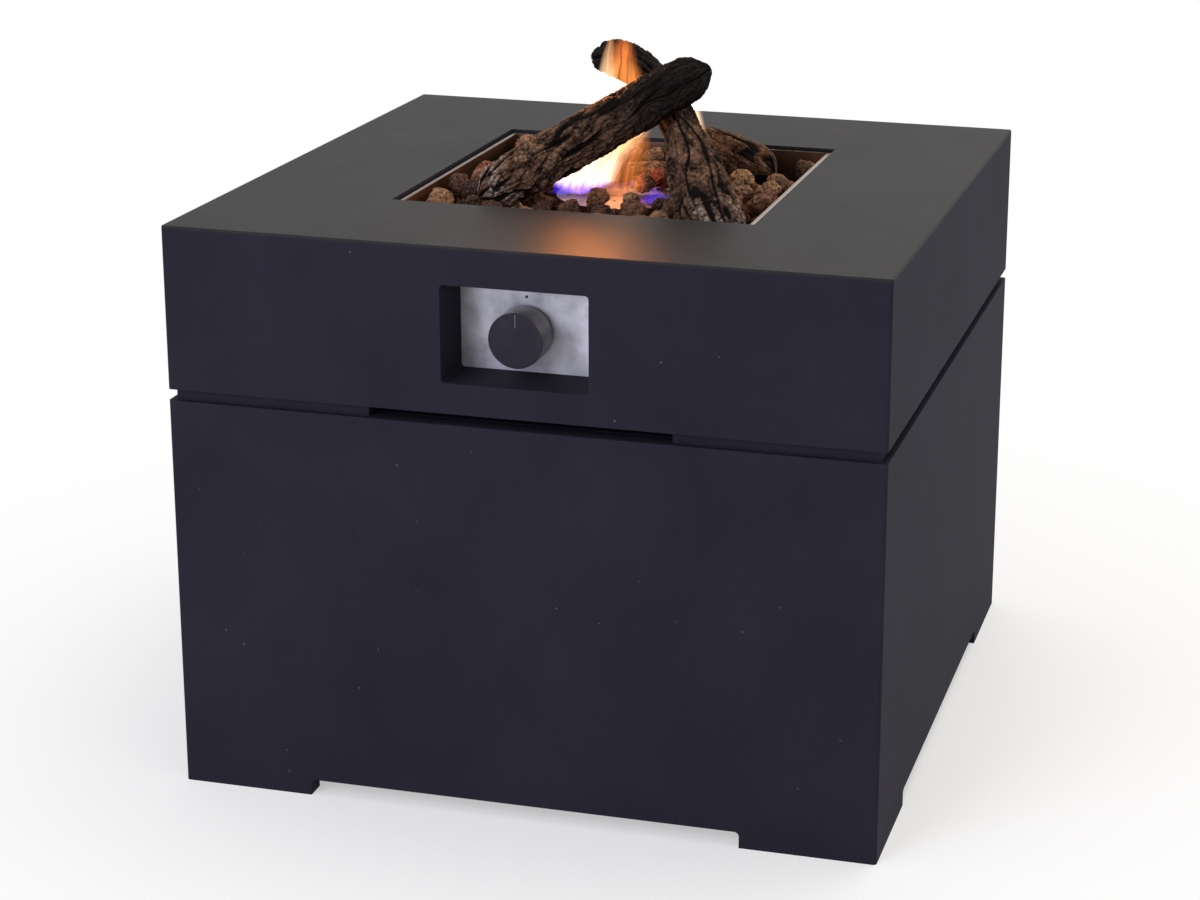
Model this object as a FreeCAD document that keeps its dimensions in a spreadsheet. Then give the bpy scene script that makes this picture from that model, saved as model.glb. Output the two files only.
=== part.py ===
import FreeCAD, Part
import math
import os
import random
import Sketcher

# A square gas fire pit of fibre concrete: a base and a top casing, a stainless burner tray
# with ceramic logs and lava stones, and a control recess with a knob on a gas valve.
# Millimetres, +Z up, front at -Y. The origin is under the middle, on the ground.

Vector = FreeCAD.Vector
X_AXIS = Vector(1, 0, 0)
Y_AXIS = Vector(0, 1, 0)
Z_AXIS = Vector(0, 0, 1)

os.makedirs("parts", exist_ok=True)
doc = FreeCAD.newDocument("gas_fire_pit")

# Driving sizes
SIZES = {
    "casing_width": 600,
    "casing_depth": 600,
    "casing_wall": 18,
    "base_height": 339,
    "edge_round": 3,
    "inner_corner": 12,
    "foot_length": 114,
    "foot_cut": 14,
    "foot_cut_round": 4,
    "lip_height": 9.5,
    "lip_setback": 5.5,
    "lip_flange": 28,
    "flange_height": 17,
    "spigot_depth": 12,
    "spigot_gap": 2,
    "vent_width": 254,
    "top_height": 137.5,
    "slab_thickness": 26,
    "opening_width": 314,
    "opening_corner": 1.5,
    "recess_offset": -1.5,
    "recess_width": 123,
    "recess_height": 80.5,
    "recess_drop": 31.5,
    "recess_depth": 49.5,
    "recess_wall": 14,
    "recess_corner": 3,
    "sheet_steel": 1.2,
    "bracket_steel": 1.5,
    "tray_gap": 3,
    "tray_sink": 3,
    "tray_depth": 46,
    "hem_width": 3.5,
    "hem_height": 9,
    "drain_radius": 3,
    "drain_circle": 112,
    "rail_length": 240,
    "rail_flange": 26,
    "rail_ledge": 20,
    "rail_gap": 6,
    "rail_screw_span": 180,
    "insert_radius": 4,
    "insert_length": 14,
    "screw_five": 2.5,
    "screw_four": 2,
    "screw_three": 1.5,
    "hole_gap": 0.1,
    "plate_margin": 12,
    "plate_screw_inset": 7,
    "plate_screw_span": 60,
    "plate_screw_length": 12,
    "knob_offset_x": -5.5,
    "knob_offset_z": -6.75,
    "knob_radius": 23,
    "knob_length": 25,
    "knob_gap": 5,
    "knob_travel": 4,
    "knob_cavity": 19,
    "knob_web": 11,
    "hub_radius": 7.5,
    "hub_gap": 1,
    "spindle_radius": 4,
    "spindle_flat": 2.6,
    "running_gap": 0.08,
    "seat_gap": 0.2,
    "clip_thickness": 0.5,
    "bonnet_radius": 8,
    "bonnet_length": 6,
    "bonnet_bore": 6.2,
    "cap_height": 2,
    "collar_height": 3,
    "spring_length": 13,
    "spring_wire": 0.5,
    "spring_turns": 4,
    "lock_nut_flats": 22,
    "lock_nut_height": 4,
    "valve_radius": 14,
    "valve_length": 35,
    "magnet_radius": 10,
    "magnet_length": 26,
    "port_setback": 20,
    "inlet_port_radius": 6.5,
    "inlet_port_length": 16,
    "inlet_nut_flats": 19,
    "inlet_nut_height": 14,
    "hose_tail_radius": 4,
    "hose_tail_neck": 4.75,
    "hose_tail_bore": 2.5,
    "hose_tail_length": 26,
    "outlet_port_radius": 8,
    "outlet_port_length": 9,
    "tube_radius": 4,
    "tube_wall": 1,
    "tube_bend": 26,
    "tube_reach": 50,
    "tube_run": 94,
    "tube_return": 40,
    "tube_nut_flats": 15,
    "tube_nut_height": 10,
    "piezo_width": 22,
    "piezo_depth": 38,
    "piezo_height": 27,
    "piezo_reach": 45,
    "lead_radius": 1.5,
    "capillary_radius": 1.25,
    "lead_bend": 14,
    "burner_radius": 58,
    "burner_rise": 14,
    "burner_height": 15,
    "cover_overlap": 6,
    "port_radius": 2,
    "nipple_radius": 10,
    "nipple_bore": 7,
    "nipple_length": 37,
    "burner_nut_flats": 30,
    "burner_nut_height": 5,
    "mixer_radius": 12.5,
    "mixer_length": 48,
    "mixer_bore": 9,
    "air_port_radius": 3.5,
    "jet_radius": 5,
    "jet_flats": 14,
    "elbow_drop": 20,
    "elbow_reach": 20,
    "elbow_radius": 9,
    "probe_offset": 12,
    "pilot_setback": 10,
    "probe_radius": 3,
    "ceramic_radius": 3.5,
    "pilot_tab_rise": 17,
    "probe_reach": 15,
    "pilot_width": 44,
    "stone_radius": 16.5,
    "stone_height": 28,
    "stone_gap": 0.3,
    "lower_stones": 84,
    "upper_stones": 92,
    "log_radius": 22.5,
    "front_log_length": 212,
    "front_log_lean": 29,
    "front_log_turn": 20,
    "crossing_log_radius": 18,
    "rear_log_radius": 18.5,
    "chunk_radius": 19,
    "chunk_length": 50,
}

sheet = doc.addObject("Spreadsheet::Sheet", "Sizes")
for row, (alias, number) in enumerate(SIZES.items(), 1):
    sheet.set(f"A{row}", alias.replace("_", " "))
    sheet.set(f"B{row}", str(number))
    sheet.setAlias(f"B{row}", alias)
doc.recompute()


class Size:
    """A length that knows its number and the sheet expression that gives it."""

    def __init__(self, number, text):
        self.number = float(number)
        self.text = text

    def __add__(self, other):
        other = as_size(other)
        return Size(self.number + other.number, f"({self.text} + {other.text})")

    def __sub__(self, other):
        other = as_size(other)
        return Size(self.number - other.number, f"({self.text} - {other.text})")

    def __mul__(self, factor):
        return Size(self.number * factor, f"{self.text} * {factor}")

    def __truediv__(self, factor):
        return Size(self.number / factor, f"{self.text} / {factor}")

    def __neg__(self):
        return Size(-self.number, f"(0 - {self.text})")

    __radd__ = __add__
    __rmul__ = __mul__

    def __rsub__(self, other):
        return as_size(other) - self

    def __float__(self):
        return self.number


def as_size(value):
    return value if isinstance(value, Size) else Size(value, f"{float(value):.6f}")


class Sheet:
    """The driving sizes by name, read back from the sheet's cells."""

    def __init__(self, source, names):
        for name in names:
            setattr(self, name, Size(source.get(name), "Sizes." + name))


s = Sheet(sheet, SIZES)

# Levels and planes that several pieces share
half_width = s.casing_width / 2
half_depth = s.casing_depth / 2
skirt_low = s.base_height + s.lip_height
casing_top = skirt_low + s.top_height
slab_low = casing_top - s.slab_thickness
recess_top = casing_top - s.recess_drop
recess_middle = recess_top - s.recess_height / 2
plate_front = s.recess_depth - half_depth
plate_back = plate_front + s.bracket_steel
knob_x = s.recess_offset + s.knob_offset_x
knob_z = recess_middle + s.knob_offset_z
tray_top = casing_top - s.tray_sink
tray_low = tray_top - s.tray_depth
tray_floor = tray_low + s.sheet_steel
tray_outer = s.opening_width / 2 - s.tray_gap
tray_inner = tray_outer - s.hem_width
wall_outer = tray_inner + s.sheet_steel
rail_web = tray_outer + s.rail_gap
half_thread = s.hole_gap / 2


def bind(item, **lengths):
    """Ties properties of a document object to the sheet."""
    for name, length in lengths.items():
        item.setExpression(name, as_size(length).text)
    return item


def place(item, x, y, z, rotation=None):
    """Puts an object at a point that follows the sheet, turned by a fixed rotation."""
    turn = rotation or FreeCAD.Rotation()
    item.Placement = FreeCAD.Placement(Vector(float(x), float(y), float(z)), turn)
    for axis, value in (("x", x), ("y", y), ("z", z)):
        item.setExpression("Placement.Base." + axis, as_size(value).text)
    return item


def block(name, x, y, z):
    """A block between two planes on each axis."""
    item = doc.addObject("Part::Box", name)
    bind(item, Length=x[1] - x[0], Width=y[1] - y[0], Height=z[1] - z[0])
    return place(item, x[0], y[0], z[0])


TURNS = {
    "x": FreeCAD.Rotation(Y_AXIS, 90),
    "y": FreeCAD.Rotation(X_AXIS, -90),
    "z": FreeCAD.Rotation(),
}


def along(item, axis, span, centre):
    """Stands an upright solid along an axis, from the first plane, about a centre line."""
    spots = {"x": (span[0], *centre), "y": (centre[0], span[0], centre[1]), "z": (*centre, span[0])}
    return place(item, *spots[axis], TURNS[axis])


def rod(name, axis, radius, span, centre):
    """A cylinder along an axis between two planes."""
    item = doc.addObject("Part::Cylinder", name)
    bind(item, Radius=radius, Height=span[1] - span[0])
    return along(item, axis, span, centre)


def cone(name, axis, radii, span, centre):
    """A cone frustum along an axis between two planes."""
    item = doc.addObject("Part::Cone", name)
    bind(item, Radius1=radii[0], Radius2=radii[1], Height=span[1] - span[0])
    return along(item, axis, span, centre)


def hexagon(name, axis, flats, span, centre):
    """A hexagonal bar along an axis, given its width across flats."""
    item = doc.addObject("Part::Prism", name)
    item.Polygon = 6
    bind(item, Circumradius=flats / math.sqrt(3), Height=span[1] - span[0])
    return along(item, axis, span, centre)


def fuse(name, *items):
    item = doc.addObject("Part::MultiFuse", name)
    item.Shapes = list(items)
    item.Refine = True
    return item


def cut(name, base, *tools):
    """A solid less its tools."""
    item = doc.addObject("Part::Cut", name)
    item.Base = base
    item.Tool = tools[0] if len(tools) == 1 else fuse(name + "_tools", *tools)
    return item


def group(name, items):
    """Several separate solids of one kind."""
    item = doc.addObject("Part::Compound", name)
    item.Links = list(items)
    return item


def solid(name, shape):
    """A shape that Part's own functions made."""
    item = doc.addObject("Part::Feature", name)
    item.Shape = shape
    return item


def ring_about(centre, out, over, radius, sides):
    """Equally spaced points round a centre, from one direction towards another."""
    ring = []
    for count in range(sides):
        angle = 2 * math.pi * count / sides
        ring.append(centre + out * (radius * math.cos(angle)) + over * (radius * math.sin(angle)))
    return ring


def skin(rings, low_tip=None, high_tip=None):
    """The facets of a closed solid: rings of equally many points, each joined to the next by
    triangles, and each end closed to a tip, or flat where it has none."""
    facets = []
    count = len(rings[0])
    for lower, upper in zip(rings, rings[1:]):
        for here in range(count):
            there = (here + 1) % count
            facets.append((lower[here], lower[there], upper[here]))
            facets.append((lower[there], upper[there], upper[here]))
    low, high = rings[0], rings[-1]
    if low_tip is None:
        facets += [(low[0], low[n + 1], low[n]) for n in range(1, count - 1)]
    else:
        facets += [(low[n], low[n - 1], low_tip) for n in range(count)]
    if high_tip is None:
        facets += [(high[0], high[n], high[n + 1]) for n in range(1, count - 1)]
    else:
        facets += [(high[n - 1], high[n], high_tip) for n in range(count)]
    return facets


def solid_of(facets):
    """A solid bounded by flat triangles, with its faces outwards."""
    faces = [Part.Face(Part.makePolygon([a, b, c, a])) for a, b, c in facets]
    made = Part.Solid(Part.makeShell(faces))
    return made if made.Volume > 0 else made.reversed()


def new_body(name):
    item = doc.addObject("PartDesign::Body", name)
    item.Label = name
    return item


def new_sketch(body, role, offset=0):
    """A sketch flat on one of the body's own planes, moved along that plane's normal."""
    item = body.newObject("Sketcher::SketchObject", body.Name + "_sketch")
    plane = next(p for p in body.Origin.OriginFeatures if p.Role == role)
    item.AttachmentSupport = [(plane, "")]
    item.MapMode = "FlatFace"
    item.AttachmentOffset = FreeCAD.Placement(Vector(0, 0, float(offset)), FreeCAD.Rotation())
    item.setExpression("AttachmentOffset.Base.z", as_size(offset).text)
    return item


def pin_point(sketch, edge, end, x, y):
    """Dimensions one end of an edge from the sketch's origin."""
    for kind, value in (("DistanceX", x), ("DistanceY", y)):
        number = float(value)
        if abs(number) < 1e-9 and not isinstance(value, Size):
            rule = Sketcher.Constraint("PointOnObject", edge, end, -2 if kind == "DistanceX" else -1)
            sketch.addConstraint(rule)
            continue
        index = sketch.addConstraint(Sketcher.Constraint(kind, -1, 1, edge, end, number))
        sketch.setExpression(f"Constraints[{index}]", as_size(value).text)


def outline(sketch, points):
    """A closed outline of straight edges through points given as sizes."""
    spots = [Vector(float(x), float(y), 0) for x, y in points]
    first = None
    for here, there in zip(spots, spots[1:] + spots[:1]):
        edge = sketch.addGeometry(Part.LineSegment(here, there), False)
        first = edge if first is None else first
    count = len(points)
    for step in range(count):
        nearby = first + (step + 1) % count
        sketch.addConstraint(Sketcher.Constraint("Coincident", first + step, 2, nearby, 1))
    for step, (x, y) in enumerate(points):
        pin_point(sketch, first + step, 1, x, y)


def rectangle(sketch, low_x, low_y, high_x, high_y):
    outline(sketch, [(low_x, low_y), (high_x, low_y), (high_x, high_y), (low_x, high_y)])


def circle(sketch, x, y, radius):
    shape = Part.Circle(Vector(float(x), float(y), 0), Z_AXIS, float(radius))
    edge = sketch.addGeometry(shape, False)
    index = sketch.addConstraint(Sketcher.Constraint("Radius", edge, float(radius)))
    sketch.setExpression(f"Constraints[{index}]", as_size(radius).text)
    pin_point(sketch, edge, 3, x, y)


def pad(body, sketch, length, both_ways=False, backwards=False):
    item = body.newObject("PartDesign::Pad", body.Name + "_pad")
    item.Profile = sketch
    item.SideType = "Symmetric" if both_ways else "One side"
    item.Reversed = backwards
    bind(item, Length=length)
    return item


def pocket(body, sketch, length=None, both_ways=False, backwards=False):
    """Cuts a sketch out of the body, to a depth or right through, and proves that it bites."""
    doc.recompute()
    before = body.Shape.Volume
    item = body.newObject("PartDesign::Pocket", body.Name + "_pocket")
    item.Profile = sketch
    item.SideType = "Symmetric" if both_ways else "One side"
    item.Reversed = backwards
    if length is None:
        item.Type = "ThroughAll"
    else:
        bind(item, Length=length)
    doc.recompute()
    if body.Shape.Volume > before - 1e-3:
        raise ValueError(f"a pocket of {body.Label} cuts nothing")
    return item


def round_edges(body, radius, wanted):
    """Fillets the edges of the body's tip that a test picks out."""
    doc.recompute()
    base = body.Tip
    names = [f"Edge{n}" for n, edge in enumerate(base.Shape.Edges, 1) if wanted(edge)]
    item = body.newObject("PartDesign::Fillet", body.Name + "_fillet")
    item.Base = (base, names)
    bind(item, Radius=radius)
    doc.recompute()
    return item


def is_upright(edge, x, y):
    """True for a vertical edge over the point (x, y), whatever the signs."""
    box = edge.BoundBox
    near = abs(abs(box.Center.x) - float(x)) < 0.01 and abs(abs(box.Center.y) - float(y)) < 0.01
    return near and box.XLength < 0.01 and box.YLength < 0.01


def base_casing():
    """Four concrete walls on corner feet, cast open at the top and the bottom."""
    body = new_body("base_casing")
    walls = new_sketch(body, "XY_Plane")
    inner_x = half_width - s.casing_wall
    inner_y = half_depth - s.casing_wall
    rectangle(walls, -half_width, -half_depth, half_width, half_depth)
    rectangle(walls, -inner_x, -inner_y, inner_x, inner_y)
    pad(body, walls, s.base_height)
    for plane, reach in (("XZ_Plane", half_width), ("YZ_Plane", half_depth)):
        gap = new_sketch(body, plane)
        half_gap = reach - s.foot_length
        rectangle(gap, -half_gap, -s.foot_cut, half_gap, s.foot_cut)
        pocket(body, gap, both_ways=True)

    def is_gap_corner(edge):
        box = edge.BoundBox
        level = abs(box.ZMin - float(s.foot_cut)) < 0.01 and box.ZLength < 0.01
        short = abs(edge.Length - float(s.casing_wall)) < 0.01
        return level and short

    round_edges(body, s.foot_cut_round, is_gap_corner)
    round_edges(body, s.inner_corner, lambda edge: is_upright(edge, inner_x, inner_y))
    round_edges(body, s.edge_round, lambda edge: is_upright(edge, half_width, half_depth))
    return body


def top_casing():
    """The top slab with its skirt, the set-back lip that stands on the base, the spigot that
    keeps it in place, the square opening for the fire and the recess for the controls."""
    body = new_body("top_casing")
    skirt = new_sketch(body, "XY_Plane", skirt_low)
    rectangle(skirt, -half_width, -half_depth, half_width, half_depth)
    pad(body, skirt, s.top_height)
    lip = new_sketch(body, "XY_Plane", s.base_height)
    lip_x = half_width - s.lip_setback
    lip_y = half_depth - s.lip_setback
    rectangle(lip, -lip_x, -lip_y, lip_x, lip_y)
    pad(body, lip, s.lip_height)
    spigot = new_sketch(body, "XY_Plane", s.base_height - s.spigot_depth)
    spigot_x = half_width - s.casing_wall - s.spigot_gap
    spigot_y = half_depth - s.casing_wall - s.spigot_gap
    rectangle(spigot, -spigot_x, -spigot_y, spigot_x, spigot_y)
    pad(body, spigot, s.spigot_depth)
    round_edges(body, s.inner_corner - s.spigot_gap, lambda edge: is_upright(edge, spigot_x, spigot_y))

    # the hollow under the slab, wider above the flange that thickens the skirt's lower edge
    flange_top = s.base_height + s.flange_height
    narrow = new_sketch(body, "XY_Plane", flange_top)
    flange_x = half_width - s.lip_flange
    flange_y = half_depth - s.lip_flange
    rectangle(narrow, -flange_x, -flange_y, flange_x, flange_y)
    pocket(body, narrow, s.flange_height + s.spigot_depth)
    wide = new_sketch(body, "XY_Plane", slab_low)
    inner_x = half_width - s.casing_wall
    inner_y = half_depth - s.casing_wall
    rectangle(wide, -inner_x, -inner_y, inner_x, inner_y)
    pocket(body, wide, slab_low - flange_top)

    # the walls of the control recess, cast on the inside of the front
    niche = new_sketch(body, "XZ_Plane", -plate_front)
    half_niche = s.recess_width / 2 + s.recess_wall
    niche_low = recess_top - s.recess_height - s.recess_wall
    niche_high = casing_top - s.slab_thickness / 2
    left = s.recess_offset - half_niche
    right = s.recess_offset + half_niche
    rectangle(niche, left, niche_low, right, niche_high)
    pad(body, niche, s.recess_depth - s.casing_wall / 2)
    mouth = new_sketch(body, "XZ_Plane", half_depth)
    mouth_left = s.recess_offset - s.recess_width / 2
    mouth_right = s.recess_offset + s.recess_width / 2
    rectangle(mouth, mouth_left, recess_top - s.recess_height, mouth_right, recess_top)
    pocket(body, mouth, s.recess_depth)

    opening = new_sketch(body, "XY_Plane", casing_top)
    half_opening = s.opening_width / 2
    rectangle(opening, -half_opening, -half_opening, half_opening, half_opening)
    pocket(body, opening, s.slab_thickness)
    vent = new_sketch(body, "XZ_Plane", half_depth)
    half_vent = s.vent_width / 2
    rectangle(vent, -half_vent, s.base_height, half_vent, skirt_low)
    pocket(body, vent, s.lip_flange)

    holes = new_sketch(body, "XY_Plane", slab_low)
    for x, y in insert_places():
        circle(holes, x, y, s.insert_radius + s.hole_gap)
    pocket(body, holes, s.insert_length, backwards=True)
    screw_holes = new_sketch(body, "XZ_Plane", -plate_front)
    for x, z in plate_screw_places():
        circle(screw_holes, x, z, s.screw_four + s.hole_gap)
    pocket(body, screw_holes, s.plate_screw_length + 2, backwards=True)

    def is_mouth_corner(edge):
        box = edge.BoundBox
        sides = min(abs(box.Center.x - float(mouth_left)), abs(box.Center.x - float(mouth_right)))
        return sides < 0.01 and abs(box.YLength - float(s.recess_depth)) < 0.01

    round_edges(body, s.recess_corner, is_mouth_corner)
    round_edges(body, s.opening_corner, lambda edge: is_upright(edge, half_opening, half_opening))
    round_edges(body, s.edge_round, lambda edge: is_upright(edge, half_width, half_depth))

    def is_top_rim(edge):
        box = edge.BoundBox
        outside = max(abs(box.Center.x) / float(half_width), abs(box.Center.y) / float(half_depth))
        return abs(box.ZMin - float(casing_top)) < 0.01 and box.ZLength < 0.01 and outside > 0.95

    round_edges(body, s.edge_round / 2, is_top_rim)
    return body


def insert_places():
    """Where the rails hang: three screws a side."""
    reach = rail_web + s.rail_flange / 2
    half_span = s.rail_screw_span / 2
    return [(side * reach, step * half_span) for side in (-1, 1) for step in (-1, 0, 1)]


def plate_screw_places():
    """Two screws in each side wall of the recess."""
    reach = s.recess_width / 2 + s.plate_screw_inset
    half_span = s.plate_screw_span / 2
    return [
        (s.recess_offset + side * reach, recess_middle + step * half_span)
        for side in (-1, 1)
        for step in (-1, 1)
    ]


def slab_inserts():
    """Threaded brass inserts cast into the slab's underside."""
    inserts = []
    for spot in insert_places():
        span = (slab_low, slab_low + s.insert_length)
        outside = rod("insert_outside", "z", s.insert_radius, span, spot)
        thread = rod("insert_thread", "z", s.screw_five + half_thread, span, spot)
        inserts.append(cut("insert", outside, thread))
    return group("slab_inserts", inserts)


def screw(name, axis, shank, length, head, centre, way=1):
    """A pan-head screw: centre gives the axis's place, head the plane under its head."""
    head_height = shank * 1.2
    if way > 0:
        shaft = rod(name + "_shank", axis, shank, (head, head + length), centre)
        cap = rod(name + "_head", axis, shank * 1.9, (head - head_height, head), centre)
    else:
        shaft = rod(name + "_shank", axis, shank, (head - length, head), centre)
        cap = rod(name + "_head", axis, shank * 1.9, (head, head + head_height), centre)
    return fuse(name, shaft, cap)


def rail_screws():
    under = slab_low - s.bracket_steel
    length = s.bracket_steel + s.insert_length - 2
    return group(
        "rail_screws",
        [screw("rail_screw", "z", s.screw_five, length, under, spot) for spot in insert_places()],
    )


def plate_screws():
    length = s.plate_screw_length + s.bracket_steel
    return group(
        "plate_screws",
        [
            screw("plate_screw", "y", s.screw_four, length, plate_back, spot, way=-1)
            for spot in plate_screw_places()
        ],
    )


def tray_rail(name, side):
    """A Z-section of folded sheet: it hangs from the slab and the tray stands on its ledge."""
    body = new_body(name)
    profile = new_sketch(body, "XZ_Plane")
    web_out = rail_web + s.bracket_steel
    tip = rail_web + s.rail_flange
    ledge = rail_web - s.rail_ledge
    corners = [
        (rail_web, slab_low),
        (tip, slab_low),
        (tip, slab_low - s.bracket_steel),
        (web_out, slab_low - s.bracket_steel),
        (web_out, tray_low - s.bracket_steel),
        (ledge, tray_low - s.bracket_steel),
        (ledge, tray_low),
        (rail_web, tray_low),
    ]
    outline(profile, [(side * x, z) for x, z in corners])
    pad(body, profile, s.rail_length, both_ways=True)
    holes = new_sketch(body, "XY_Plane", slab_low)
    for x, y in insert_places():
        if float(x) * side > 0:
            circle(holes, x, y, s.screw_five + s.hole_gap)
    pocket(body, holes, s.bracket_steel)
    return body


pilot_y = -(s.burner_radius + s.pilot_setback)


def burner_tray():
    """A deep-folded square tray: thin walls, a hemmed rim, drain holes and the burner's hole."""
    body = new_body("burner_tray")
    outside = new_sketch(body, "XY_Plane", tray_low)
    rectangle(outside, -wall_outer, -wall_outer, wall_outer, wall_outer)
    pad(body, outside, s.tray_depth)
    hem = new_sketch(body, "XY_Plane", tray_top)
    rectangle(hem, -tray_outer, -tray_outer, tray_outer, tray_outer)
    pad(body, hem, s.hem_height, backwards=True)
    inside = new_sketch(body, "XY_Plane", tray_top)
    rectangle(inside, -tray_inner, -tray_inner, tray_inner, tray_inner)
    pocket(body, inside, s.tray_depth - s.sheet_steel)
    middle = new_sketch(body, "XY_Plane", tray_floor)
    circle(middle, 0, 0, s.nipple_radius + s.hole_gap)
    slot_x = s.probe_offset + s.ceramic_radius + 2
    slot_y = s.ceramic_radius + 2
    rectangle(middle, -slot_x, pilot_y - slot_y, slot_x, pilot_y + slot_y)
    for x, y in pilot_screw_places():
        circle(middle, x, y, s.screw_four + s.hole_gap)
    pocket(body, middle, s.sheet_steel)
    drain = new_sketch(body, "XY_Plane", tray_floor)
    circle(drain, s.drain_circle, 0, s.drain_radius)
    hole = pocket(body, drain, s.sheet_steel)
    ring = body.newObject("PartDesign::PolarPattern", "drain_ring")
    ring.Originals = [hole]
    ring.Axis = (drain, ["N_Axis"])
    ring.Angle = 360
    ring.Occurrences = 8
    body.Tip = ring
    return body


def pilot_screw_places():
    back = pilot_y - s.ceramic_radius - 17
    reach = s.pilot_width / 2 - 7
    return [(-reach, back), (reach, back)]


def control_plate():
    """The brushed plate that closes the back of the recess, with the hole for the valve."""
    body = new_body("control_plate")
    face = new_sketch(body, "XZ_Plane", -plate_back)
    half_plate = s.recess_width / 2 + s.plate_margin
    left = s.recess_offset - half_plate
    right = s.recess_offset + half_plate
    low = recess_top - s.recess_height - s.plate_margin
    rectangle(face, left, low, right, slab_low - s.bracket_steel)
    circle(face, knob_x, knob_z, s.bonnet_radius + s.hole_gap)
    for x, z in plate_screw_places():
        circle(face, x, z, s.screw_four + s.hole_gap)
    pad(body, face, s.bracket_steel)
    return body


# Planes along the valve's axis, from the knob's face backwards
knob_back = plate_front - s.knob_gap
knob_front = knob_back - s.knob_length
bonnet_front = plate_front - s.bonnet_length
cap_back = bonnet_front + s.cap_height
flange_front = cap_back + s.seat_gap
flange_back = flange_front + s.cap_height
collar_front = flange_back + s.seat_gap
collar_back = collar_front + s.collar_height
spring_front = collar_back + s.seat_gap
spring_back = spring_front + s.spring_length
valve_front = plate_back + s.bracket_steel
valve_back = valve_front + s.valve_length
magnet_back = valve_back + s.magnet_length
port_y = valve_front + s.port_setback
knob_axis = (knob_x, knob_z)
flange_radius = s.bonnet_bore - s.seat_gap
bearing = s.spindle_radius + s.running_gap
hub_back = bonnet_front - s.knob_travel - s.hub_gap


def gas_knob():
    """A turned knob with a chamfered face, a hollow back over the lock nut, a hub with a
    bore for the spindle's flat and a short pointer line cut into its face."""
    body = new_body("gas_knob")
    turning = new_sketch(body, "YZ_Plane")
    cavity = s.knob_length - s.knob_web
    chamfer = 1
    corners = [
        (as_size(0), as_size(0)),
        (as_size(0), s.knob_radius - chamfer),
        (as_size(chamfer), s.knob_radius),
        (s.knob_length, s.knob_radius),
        (s.knob_length, s.knob_cavity),
        (s.knob_length - cavity, s.knob_cavity),
        (s.knob_length - cavity, s.hub_radius),
        (hub_back - knob_front, s.hub_radius),
        (hub_back - knob_front, as_size(0)),
    ]
    outline(turning, corners)
    round_solid = body.newObject("PartDesign::Revolution", "knob_revolution")
    round_solid.Profile = turning
    round_solid.ReferenceAxis = (turning, ["H_Axis"])
    round_solid.Angle = 360
    bore = new_sketch(body, "XZ_Plane", -(s.knob_web / 2))
    flat_bore(bore, s.spindle_radius + half_thread, s.spindle_flat + s.clip_thickness + s.hole_gap)
    pocket(body, bore)
    pointer = new_sketch(body, "XZ_Plane")
    pointer_half = 0.6
    rectangle(pointer, -pointer_half, s.knob_radius * 0.6, pointer_half, s.knob_radius * 0.9)
    pocket(body, pointer, 0.6)
    return place(body, knob_x, knob_front, knob_z)


def flat_bore(sketch, radius, flat):
    """A round bore cut off by a flat above its centre."""
    rise = math.asin(float(flat) / float(radius))
    ring = Part.Circle(Vector(0, 0, 0), Z_AXIS, float(radius))
    arc = sketch.addGeometry(Part.ArcOfCircle(ring, math.pi - rise, 2 * math.pi + rise), False)
    half_chord = float(radius) * math.cos(rise)
    ends = [Vector(half_chord, float(flat), 0), Vector(-half_chord, float(flat), 0)]
    chord = sketch.addGeometry(Part.LineSegment(*ends), False)
    sketch.addConstraint(Sketcher.Constraint("Coincident", arc, 3, -1, 1))
    sketch.addConstraint(Sketcher.Constraint("Coincident", arc, 2, chord, 1))
    sketch.addConstraint(Sketcher.Constraint("Coincident", chord, 2, arc, 1))
    sketch.addConstraint(Sketcher.Constraint("Horizontal", chord))
    wide = sketch.addConstraint(Sketcher.Constraint("Radius", arc, float(radius)))
    sketch.setExpression(f"Constraints[{wide}]", radius.text)
    high = sketch.addConstraint(Sketcher.Constraint("DistanceY", -1, 1, chord, 1, float(flat)))
    sketch.setExpression(f"Constraints[{high}]", flat.text)


def valve_spindle():
    """The spindle: a flat on its front end for the knob and a flange inside the bonnet."""
    tip = knob_front + s.knob_web / 2 + 1
    shaft = rod("spindle_shaft", "y", s.spindle_radius, (tip, spring_back + 10), knob_axis)
    flange = rod("spindle_flange", "y", flange_radius, (flange_front, flange_back), knob_axis)
    side = (knob_x - s.spindle_radius, knob_x + s.spindle_radius)
    over = (knob_z + s.spindle_flat, knob_z + s.spindle_radius + 1)
    flat = block("spindle_flat", side, (tip, hub_back), over)
    return cut("valve_spindle", fuse("spindle_turned", shaft, flange), flat)


def knob_clip():
    """A leaf of spring steel between the spindle's flat and the knob's bore."""
    low = knob_z + s.spindle_flat + half_thread
    half_leaf = s.spindle_radius * 0.5
    tip = knob_front + s.knob_web / 2 + 2
    return block(
        "knob_clip",
        (knob_x - half_leaf, knob_x + half_leaf),
        (tip, hub_back - 1),
        (low, low + s.clip_thickness),
    )


def bonnet_cap():
    """The ring that keeps the spindle's flange in the bonnet."""
    span = (bonnet_front, cap_back)
    ring = rod("cap_ring", "y", flange_radius + 1, span, knob_axis)
    return cut("bonnet_cap", ring, rod("cap_hole", "y", bearing, span, knob_axis))


def push_collar():
    """The sliding collar behind the spindle's flange: it is pushed in but doesn't turn."""
    span = (collar_front, collar_back)
    ring = rod("collar_ring", "y", s.bonnet_bore - s.running_gap, span, knob_axis)
    return cut("push_collar", ring, rod("collar_hole", "y", bearing, span, knob_axis))


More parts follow.
